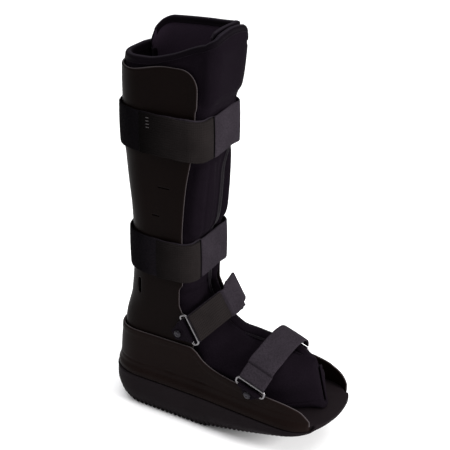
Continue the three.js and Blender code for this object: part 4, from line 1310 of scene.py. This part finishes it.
def edge_tape():
    """Grosgrain edge tape folded over the foam's edge: fine cross ribs, slightly shinier than the cloth, with
    painted highlight lines along its hem and fold.
    """
    return cloth_material("Grosgrain edge tape", scaled(colours().cloth, 0.6), 1.0, 0.2, 0.12, 0.5,
                          mottle=0.15, weave=True, line=linear("28242b"))


def hook_tape_and_painted_shadow():
    """Near-black strip beside a strap's end: the edge of its hook tape, moulded nylon hooks, and a painted
    shadow line along the end.
    """
    return cloth_material("Hook tape nylon", linear("060506"), 0.9, 0.3, 0.0, 0.95, mottle=0.3)


def tab_webbing():
    """Black webbing of the tabs that hold the rings: plain-woven polyester, heat-set flat."""
    return cloth_material("Woven polyester tab", colours().cloth, 1.0, 0.2, 0.1, 0.6, mottle=0.15, weave=True)


def plated_steel():
    """Zinc-plated steel wire, drawn and tumbled: bright, with faint smears."""
    material, tree, shader, where = blank_material("Plated steel")
    fill(tree, shader, {
        "Base Color": linear("6a686a"), "Metallic": 1,
        "Roughness": ranged(tree, noise(tree, where, 4, 4, 0.6), (0, 1), (0.12, 0.36))})
    return material


def blackened_steel():
    """Black-oxide steel rivet heads, tumbled: dark, with slightly brighter spots where the oxide is rubbed
    thin.
    """
    material, tree, shader, where = blank_material("Blackened steel")
    wear = noise(tree, where, 1.5, 3)
    fill(tree, shader, {
        "Base Color": blended(tree, wear, linear("121112"), linear("37353a")),
        "Metallic": 1, "Roughness": 0.38})
    return material


def sewing_thread():
    """Bonded nylon thread: a little lighter than the cloth, satin, twisted too finely to show."""
    material, tree, shader, where = blank_material("Bonded nylon thread")
    twist = noise(tree, where, 0.6, 2)
    fill(tree, shader, {
        "Base Color": blended(tree, twist, linear("231f20"), linear("3a3536")), "Roughness": 0.55})
    return material


def studio_floor():
    """Pale seamless paper: matt, with the faintest unevenness."""
    material, tree, shader, where = blank_material("Seamless paper")
    base = list(colours().floor)
    fill(tree, shader, {
        "Base Color": blended(tree, noise(tree, where, 500, 2), scaled(base, 0.985), base),
        "Roughness": 0.85, "Specular IOR Level": 0.2})
    return material


MATERIALS = {
    "shell": moulded_polypropylene,
    "rubber": moulded_rubber,
    "cloth": brushed_loop_cloth,
    "lining": lining_cloth_with_painted_light,
    "pile": loop_pile,
    "webbing": woven_backing,
    "tape": edge_tape,
    "hook": hook_tape_and_painted_shadow,
    "tab": tab_webbing,
    "leg": darker_polypropylene,
    "steel": plated_steel,
    "thread": sewing_thread,
    "rivet": blackened_steel,
    "floor": studio_floor,
}


def finish_with(obj, finish):
    """Gives a piece its one material, made the first time that it is asked for."""
    made = bpy.context.scene.get("boot_finishes", {})
    name = made.get(finish)
    material = bpy.data.materials.get(name) if name else None
    if material is None:
        material = MATERIALS[finish]()
        made = dict(made)
        made[finish] = material.name
        bpy.context.scene["boot_finishes"] = made
    obj.data.materials.clear()
    obj.data.materials.append(material)
    return obj


# Operators, one for each piece or group of like pieces


class BOOT_OT_sole(bpy.types.Operator):
    """Build the rocker sole with its ribbed tread and bare toe platform."""

    bl_idname = "boot.sole"
    bl_label = "Sole"

    def execute(self, context):
        lofted("Sole", sole_rings(), "rubber", "outsole")
        return {"FINISHED"}


class BOOT_OT_foot_shell(bpy.types.Operator):
    """Build the moulded foot shell with its rounded rim and bottom bead."""

    bl_idname = "boot.foot_shell"
    bl_label = "Foot shell"

    def execute(self, context):
        grids, rim = foot_shell_grids()
        pillow("Foot_shell", grids, "shell", "foot_shell", rim=(rim, rim))
        return {"FINISHED"}


def box_cutter(name, low, high):
    """A plain closed box between two corners, used once to cut an opening and then deleted."""
    corners = np.array([[x, y, z] for x in (low[0], high[0]) for y in (low[1], high[1])
                        for z in (low[2], high[2])])
    faces = [[0, 1, 3, 2], [4, 6, 7, 5], [0, 4, 5, 1], [2, 3, 7, 6], [0, 2, 6, 4], [1, 5, 7, 3]]
    mesh = bpy.data.meshes.new(name)
    mesh.from_pydata((corners * MM).tolist(), [], faces)
    obj = linked(name, mesh)
    bevel = obj.modifiers.new("Rounded", "BEVEL")
    bevel.width = min(high - low) * MM * 0.42
    bevel.segments = 4
    return obj


def cut_openings(obj, boxes):
    """Cuts rounded boxes out of a piece by boolean difference, and keeps the evaluated mesh."""
    cutters = [box_cutter(f"cutter_{number}", *box) for number, box in enumerate(boxes)]
    for cutter in cutters:
        step = obj.modifiers.new("Opening", "BOOLEAN")
        step.operation = "DIFFERENCE"
        step.solver = "MANIFOLD"
        step.object = cutter
    graph = bpy.context.evaluated_depsgraph_get()
    mesh = bpy.data.meshes.new_from_object(obj.evaluated_get(graph))
    obj.modifiers.clear()
    old = obj.data
    obj.data = mesh
    mesh.name = old.name
    bpy.data.meshes.remove(old)
    for cutter in cutters:
        bpy.data.objects.remove(cutter)


SHELL_OPENINGS = table(
    "up front long tall",
    (0.667, 0.6, 14, 1.2),
    (0.587, 0.5, 9, 1.2),
)


REAR_SLOT = {"front": 0.26, "below_strap": 18, "long": 4, "tall": 18}


def shell_openings():
    """Low and high corners of the short slits and the upright rear slot on both sides, in millimetres."""
    slots = [(o, o["up"] * SHELL_HEIGHT) for o in SHELL_OPENINGS]
    slots.append((REAR_SLOT, LOWER_STRAP_Z - STRAP_WIDTH / 2 - REAR_SLOT["below_strap"]))
    boxes = []
    for side in (NEAR, FAR):
        middle_y = side * (LINER_HALF + 2)
        for slot, z in slots:
            middle = np.array([LEG_BACK_X + slot["front"] * LINER_DEPTH, middle_y, z])
            reach = np.array([slot["long"] / 2, 10, slot["tall"] / 2])
            boxes.append((middle - reach, middle + reach))
    return boxes


class BOOT_OT_leg_shell(bpy.types.Operator):
    """Build the moulded leg shell with its rounded rim, slits and slots."""

    bl_idname = "boot.leg_shell"
    bl_label = "Leg shell"

    def execute(self, context):
        grids, rim = leg_shell_grids()
        shell = pillow("Leg_shell", grids, None, "leg_shell", rim=(rim, rim))
        cut_openings(shell, shell_openings())
        finish_with(shell, "leg")
        return {"FINISHED"}


# Each binding tape: where it runs, how many sections it has, and the wall that it is folded over
BINDINGS = [
    ("rim", rim_place(LINER_RIM, (0.62, -1.185)), 260, "liner"),
    ("near_edge", side_place(liner_ends, 0, liner_toe, LINER_RIM), 300, "liner"),
    ("flap_rim", rim_place(FLAP_RIM, (0.19, 1.22)), 160, "liner_far_flap"),
    ("flap_front", side_place(flap_ends, 1, flap_toe, FLAP_RIM), 260, "liner_far_flap"),
    ("flap_back", side_place(flap_ends, 0, flap_toe, FLAP_RIM), 200, "liner_far_flap"),
]


class BOOT_OT_liner(bpy.types.Operator):
    """Build the padded wrap liner and its far flap, swollen between the straps and bound at the edges."""

    bl_idname = "boot.liner"
    bl_label = "Liner"

    def execute(self, context):
        g = wall_grid(LINER_RIM, liner_ends, liner_toe, 170, (120, 90), LINER_WALL / 2)
        grids = wall_surface(g, 0, LINER_WALL, liner_relief(g))
        liner = pillow("Liner", grids, "cloth", "liner")
        g = wall_grid(FLAP_RIM, flap_ends, flap_toe, 90, (110, 60), FLAP_WALL / 2)
        grids = wall_surface(g, FLAP_OUT, FLAP_WALL, flap_relief(g))
        # Rim share 1 on the far flap's inner face and 0 on its outer: the lining paints the inside lighter as
        # light falling into the boot.
        faces = (np.zeros_like(g["z"]), np.ones_like(g["z"]))
        flap = pillow("Liner_far_flap", grids, "lining", "liner_far_flap", rim=faces)
        walls = {"liner": (LINER_WALL, 0), "liner_far_flap": (FLAP_WALL, FLAP_OUT)}
        for name, place, count, node_name in BINDINGS:
            rings, line = binding_rings(place, count, *walls[node_name])
            # line marks the tape's hem and fold for its painted highlight lines.
            lofted(f"Binding_{name}", rings, "tape", node_name, rim=line)
        return {"FINISHED"}


# Height of each calf strap, and where its end starts and stops, as places round the leg
CALF_STRAPS = {"upper": (UPPER_STRAP_Z, -0.385, -0.93), "lower": (LOWER_STRAP_Z, -0.47, -0.92)}


class BOOT_OT_calf_straps(bpy.types.Operator):
    """Build the two calf straps and the ends that fold back on them."""

    bl_idname = "boot.calf_straps"
    bl_label = "Calf straps"

    def execute(self, context):
        cross = cross_places()
        whole = np.linspace(0, 2, 481)[:-1]
        whole = np.where(whole > 1, whole - 2, whole)
        base = STRAP_THICK + GAP
        for name, (height, start, stop) in CALF_STRAPS.items():
            node_name = f"calf_strap_{name}"
            grids = strap_band(height, whole, cross, 0, end=stop)
            band = pillow(f"Calf_strap_{name}", grids, "pile", node_name, closed=True)
            grids = strap_band(height, np.linspace(start, stop, 90), cross, base)
            end = pillow(f"Calf_strap_{name}_end", grids, "webbing", node_name + "_end")
            # A near-black strip just past the end's edge: the hook tape's edge, and the painted shadow line
            # where the end lies on the band.
            beside = around_of(girth_of(stop) - np.linspace(0.35, 1.75, 8))
            grids = strap_band(height, beside, cross, base - 0.5)
            pillow(f"Calf_strap_{name}_hem", grids, "hook", node_name + "_end")
        for number in range(STITCHES["count"]):
            rings = stitch_rings(UPPER_STRAP_Z + STITCHES["first"] - STITCHES["pitch"] * number)
            lofted(f"Stitch_{number}", rings, "thread", "calf_strap_upper_end")
        return {"FINISHED"}


# The bar tack on the upper strap's end: stitches under one another, in millimetres
STITCHES = {"count": 4, "pitch": 3.4, "length": 3.4, "first": 18, "inset": 8, "radius": 0.32, "rise": 0.6}


def stitch_rings(level):
    """Rings of one short stitch that lies along the upper strap's end: a thin arc between two ends."""
    sides = 8
    t = np.linspace(0, 1, sides - 1)
    start = girth_of(CALF_STRAPS["upper"][1]) - STITCHES["inset"]
    out = 2 * STRAP_THICK + GAP + STITCHES["rise"] + 0.35 * np.sin(math.pi * t)
    middle = strap_outline(UPPER_STRAP_Z, out, around_of(start - STITCHES["length"] * t))
    path = np.concatenate([middle, np.full((len(t), 1), level)], 1)
    turn = np.linspace(0, 2 * math.pi, sides, endpoint=False)
    radius = STITCHES["radius"] * np.sqrt(np.clip(1 - (2 * t - 1) ** 4, 0.04, 1))[:, None]
    ring = np.repeat(path[:, None], sides, 1)
    ring[..., 1] += radius * np.cos(turn)
    ring[..., 2] += radius * np.sin(turn)
    return ring


def foot_band(name, place, line, base, width, finish, corner=0.0, end_y=None):
    """One flat band of a foot strap: grids, mesh and material."""
    grids = band_on_line(place, with_close_ends(line), base, width, corner, end_y)
    band = pillow(name, grids, finish, name.lower())
    row = len(grids[0]) // 2
    flat = float(along_line((grids[0][row] + grids[1][row]) / 2)[-1])


def free_end_line():
    """Middle line of the ankle strap's free end, which leaves the strap and lifts away by its table."""
    start = arch_line(ANKLE, ANKLE_ARCH, 0.02, 0.2, 30)
    away = np.linspace(0, FREE_END[-1]["away"], 40)
    up = start["up"][0] + read(FREE_END, "away", "lift", away)
    slope = np.gradient(up) / np.gradient(away)
    length = np.hypot(slope, 1)
    return {"y": start["y"][0] + away, "up": up,
            "shift": start["shift"][0] + read(FREE_END, "away", "shift", away),
            "ny": -slope / length, "nu": 1 / length}


class BOOT_OT_foot_straps(bpy.types.Operator):
    """Build the ankle strap and the toe strap with their folded ends."""

    bl_idname = "boot.foot_straps"
    bl_label = "Foot straps"

    def execute(self, context):
        width = FOOT_STRAP_WIDTH
        upper = BAR_CLEAR + STRAP_THICK + GAP
        straps = [
            ("Ankle_strap", ANKLE, ANKLE_ARCH, ANKLE_FOLD, 100, "webbing", 2.0),
            ("Toe_strap", TOE, TOE_ARCH, TOE_FOLD, 60, "pile", 1.5),
        ]
        for name, place, arch, fold, count, finish, corner in straps:
            foot_band(name, place, arch_line(place, arch, -1, 1, 200), BAR_CLEAR, width, "pile",
                      end_y=fold * place["middle"][1])
            foot_band(f"{name}_end", place, arch_line(place, arch, -1, fold, count), upper, width - 1,
                      finish, corner)
            if place is ANKLE:
                foot_band("Ankle_strap_tab", place, free_end_line(), upper + 0.6, width + 2,
                          "pile", 3.5)
        return {"FINISHED"}


def ring_path(place, side):
    """A rectangle with rounded corners in the ring's plane, as straight runs and quarter circles."""
    long, depth, round_ = FOOT_STRAP_WIDTH / 2 + RING_WIRE / 2 + GAP, RING_DEPTH, 3.0
    points = []
    for k, (w, u) in enumerate([(long, 0), (long, -depth), (-long, -depth), (-long, 0)]):
        turn = math.pi / 2 * (1 - k) - np.linspace(0, math.pi / 2, 9)
        cw = w - math.copysign(round_, w)
        cu = -round_ if u == 0 else u + round_
        points.append(np.stack([cw + round_ * np.cos(turn), cu + round_ * np.sin(turn)], 1))
    flat = np.concatenate(points)
    return bar_middle(place, side) + flat[:, :1] * place["wide"] + flat[:, 1:] * place["up"]


def dense_loop(path, step):
    """The closed path resampled at even distances."""
    closed = np.concatenate([path, path[:1]])
    length = along_line(closed)
    at = np.linspace(0, length[-1], int(length[-1] / step), endpoint=False)
    return np.stack([np.interp(at, length, closed[:, k]) for k in range(3)], 1)


FASTENINGS = [(f"{strap}_{side_name}", place, side)
              for strap, place in (("ankle", ANKLE), ("toe", TOE))
              for side_name, side in (("near", NEAR), ("far", FAR))]


class BOOT_OT_rings(bpy.types.Operator):
    """Build the four bent wire rings."""

    bl_idname = "boot.rings"
    bl_label = "Rings"

    def execute(self, context):
        for name, place, side in FASTENINGS:
            path = dense_loop(ring_path(place, side), 0.7)
            rings = wire_loop(path, [0, 1, 0], sizes().ring_wire / MM / 2)
            lofted(f"Ring_{name}", rings, "steel", f"ring_{name}", closed=True)
        return {"FINISHED"}


def leg_surface(points):
    """Half width of the leg shell's outside at the points' heights."""
    return shell_section(points[..., 2])["half"] + SHELL_CLEARANCE + LEG_WALL


def foot_surface(points):
    """Half width of the foot shell's outside at the points, straight between its bead and its rim."""
    x = points[..., 0]
    none = np.zeros_like(x)
    top = foot_shell_point(x, none, none + 1, none)
    low = foot_shell_point(x, none, none + 0.16, none)
    share = np.clip((points[..., 2] - low[..., 2]) / (top[..., 2] - low[..., 2]), 0, 1)
    return mix(low[..., 1], top[..., 1], share)


def tab_grids(place, side, surface, drop):
    """A webbing tab folded round the ring's inner bar: both leaves lie on the shell down to the rivet.

    Each of its three parts, the inner leaf, the turn round the bar and the outer leaf, gives its
    columns' way up, its height over the shell, and the outward directions of the cloth's face.
    """
    flat, turned = 14, 22
    radius = RING_WIRE / 2 + GAP + TAB_THICK / 2
    low = GAP + TAB_THICK / 2
    high = low + TAB_THICK + GAP
    tail = RING_DEPTH + drop
    turn = np.linspace(-0.5, 0.78, turned) * math.pi
    in_parts = lambda inner, bend, outer: np.concatenate(
        [np.full(flat, inner, float), bend + np.zeros(turned), np.full(flat, outer, float)])
    up = np.concatenate([np.linspace(-tail, -RING_DEPTH - radius, flat), -RING_DEPTH + radius * np.cos(turn),
                         np.linspace(-RING_DEPTH - 0.3 * drop, -tail, flat)])
    leaf = in_parts(low, 0, high)
    face_up = in_parts(0, np.cos(turn), 0)
    face_out = in_parts(-1, np.sin(turn), 1)
    on_bar = in_parts(0, 1, 0) > 0
    bar_out = in_parts(0, radius * np.sin(turn), 0)
    across = (edge_steps(2, 16, 0.08) - 1)[:, None]
    taper = np.clip((-up - RING_DEPTH) / drop, 0, 1)
    wide = FOOT_STRAP_WIDTH * mix(0.44, 0.17, smooth(taper * 0.9))
    columns = np.arange(len(up))
    end = np.minimum(columns, columns[::-1]) * 0.5
    rim = TAB_THICK / 2
    share = edged(roundness(np.minimum((1 - np.abs(across)) * wide, end), rim))

    def grid(sign):
        grow = sign * rim * share
        rise = up + face_up * grow
        points = (across * wide)[..., None] * place["wide"] + rise[..., None] * place["up"]
        points += bar_middle(place, side) * np.array([1, 0, 1])
        on_shell = surface(points) + leaf + face_out * grow
        bar = place["middle"][1] + bar_out + face_out * grow
        points[..., 1] = side * np.where(on_bar, bar, on_shell)
        return points

    u = along_line(np.stack([up, leaf + bar_out], -1)) + 0 * across
    return grid(1), grid(-1), u, across * 12 + 0 * up


class BOOT_OT_tabs(bpy.types.Operator):
    """Build the tabs that hold the rings, and their domed rivets."""

    bl_idname = "boot.tabs"
    bl_label = "Tabs and rivets"

    def execute(self, context):
        for name, place, side in FASTENINGS:
            surface, drop = (leg_surface, 21) if place is ANKLE else (foot_surface, 11)
            grids, head = tab_grids(place, side, surface, drop), rivet_rings(place, side, surface, drop)
            pillow(f"Tab_{name}", grids, "tab", f"tab_{name}")
            lofted(f"Rivet_{name}", head, "rivet", f"rivet_{name}")
        return {"FINISHED"}


def rivet_rings(place, side, surface, drop):
    """Rings of a domed head with a rolled rim and a small dimple, stacked along Y."""
    radius, height = 4.2, 2.0
    p = bar_middle(place, side) * np.array([1, 0, 1]) - place["up"] * (RING_DEPTH + 0.65 * drop)
    y = float(surface(p[None])[0]) + 3 * GAP + 2 * TAB_THICK + 0.25
    profile = np.array([[0.96, 0], [1, 0.12], [1, 0.3], [0.94, 0.5], [0.82, 0.72], [0.62, 0.9], [0.42, 0.98],
                        [0.3, 0.96], [0.22, 0.86], [0.1, 0.82]])
    turn = np.linspace(0, 2 * math.pi, 40, endpoint=False)
    ring = np.stack([np.cos(turn), np.zeros(40), np.sin(turn)], 1)
    return np.array([[p[0], side * (y + h * height), p[2]] + r * radius * ring for r, h in profile])


def aimed(name, data, place, direction):
    """A new lamp or camera at a place, turned to face a direction."""
    obj = linked(name, data)
    obj.location = place
    obj.rotation_mode = "QUATERNION"
    obj.rotation_quaternion = direction.to_track_quat("-Z", "Y")
    return obj


class BOOT_OT_stage(bpy.types.Operator):
    """Set the pale floor, the soft lights, the world and the camera."""

    bl_idname = "boot.stage"
    bl_label = "Stage"

    def execute(self, context):
        scene = context.scene
        size = 6.0
        floor = bpy.data.meshes.new("Floor")
        corners = [(-size, -size, 0), (size, -size, 0), (size, size, 0), (-size, size, 0)]
        floor.from_pydata(corners, [], [(0, 1, 2, 3)])
        floor_object = linked("Floor", floor)
        finish_with(floor_object, "floor")
        world = bpy.data.worlds.new("Studio")
        scene.world = world
        world.use_nodes = True
        background = world.node_tree.nodes["Background"]
        background.inputs["Color"].default_value = (1, 1, 1, 1)
        background.inputs["Strength"].default_value = 0.5
        aim = Vector((-0.01, 0, 0.2))
        lights = [
            ("Key", (2.0, -0.1, 1.0), 0.9, 72, (1.0, 0.99, 0.98)),
            ("Top", (-0.2, 0.2, 2.8), 5.0, 118, (1.0, 1.0, 1.0)),
            ("Fill", (-0.25, -0.9, 2.3), 1.0, 6, (1.0, 0.99, 1.0)),
        ]
        for name, place, wide, power, tint in lights:
            data = bpy.data.lights.new(name, "AREA")
            data.shape = "DISK"
            data.size = wide
            data.energy = power
            data.color = tint
            aimed(name, data, place, aim - Vector(place))
        self.place_camera(scene)
        scene.view_settings.view_transform = "Standard"
        return {"FINISHED"}

    def place_camera(self, scene):
        """The camera stands at the photograph's angle: 31.7 degrees round and 25.65 degrees up."""
        azimuth, elevation, distance = math.radians(31.7), math.radians(25.65), 1.3395
        target = Vector((-0.0053, 0, 0.2261))
        back = Vector((math.sin(azimuth) * math.cos(elevation), -math.cos(azimuth) * math.cos(elevation),
                       math.sin(elevation)))
        data = bpy.data.cameras.new("Camera")
        data.sensor_width = 36
        data.lens = 103.2
        scene.camera = aimed("Camera", data, target + back * distance, -back)


class BOOT_PT_panel(bpy.types.Panel):
    """The boot's settings and its building steps."""

    bl_idname = "BOOT_PT_panel"
    bl_label = "Walking Boot"
    bl_space_type = "VIEW_3D"
    bl_region_type = "UI"
    bl_category = "Boot"

    def draw(self, context):
        for group in (context.scene.boot_sizes, context.scene.boot_colours):
            column = self.layout.column()
            for name in group.bl_rna.properties.keys():
                if name not in ("rna_type", "name"):
                    column.prop(group, name)
        for operator in STEPS:
            self.layout.operator(operator.bl_idname)


STEPS = [
    BOOT_OT_stage,
    BOOT_OT_sole,
    BOOT_OT_foot_shell,
    BOOT_OT_leg_shell,
    BOOT_OT_liner,
    BOOT_OT_calf_straps,
    BOOT_OT_foot_straps,
    BOOT_OT_rings,
    BOOT_OT_tabs,
]
CLASSES = [BootSizes, BootColours, *STEPS, BOOT_PT_panel]


def register():
    """Register every class and hang the settings on the scene."""
    for cls in CLASSES:
        bpy.utils.register_class(cls)
    bpy.types.Scene.boot_sizes = bpy.props.PointerProperty(type=BootSizes)
    bpy.types.Scene.boot_colours = bpy.props.PointerProperty(type=BootColours)


def unregister():
    """Take the settings off the scene and unregister every class."""
    del bpy.types.Scene.boot_colours
    del bpy.types.Scene.boot_sizes
    for cls in reversed(CLASSES):
        bpy.utils.unregister_class(cls)


def main():
    """Build the whole scene by calling each step's operator in order."""
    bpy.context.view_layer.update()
    register()
    for step in STEPS:
        group, name = step.bl_idname.split(".")
        getattr(getattr(bpy.ops, group), name)()


if __name__ == "__main__":
    main()
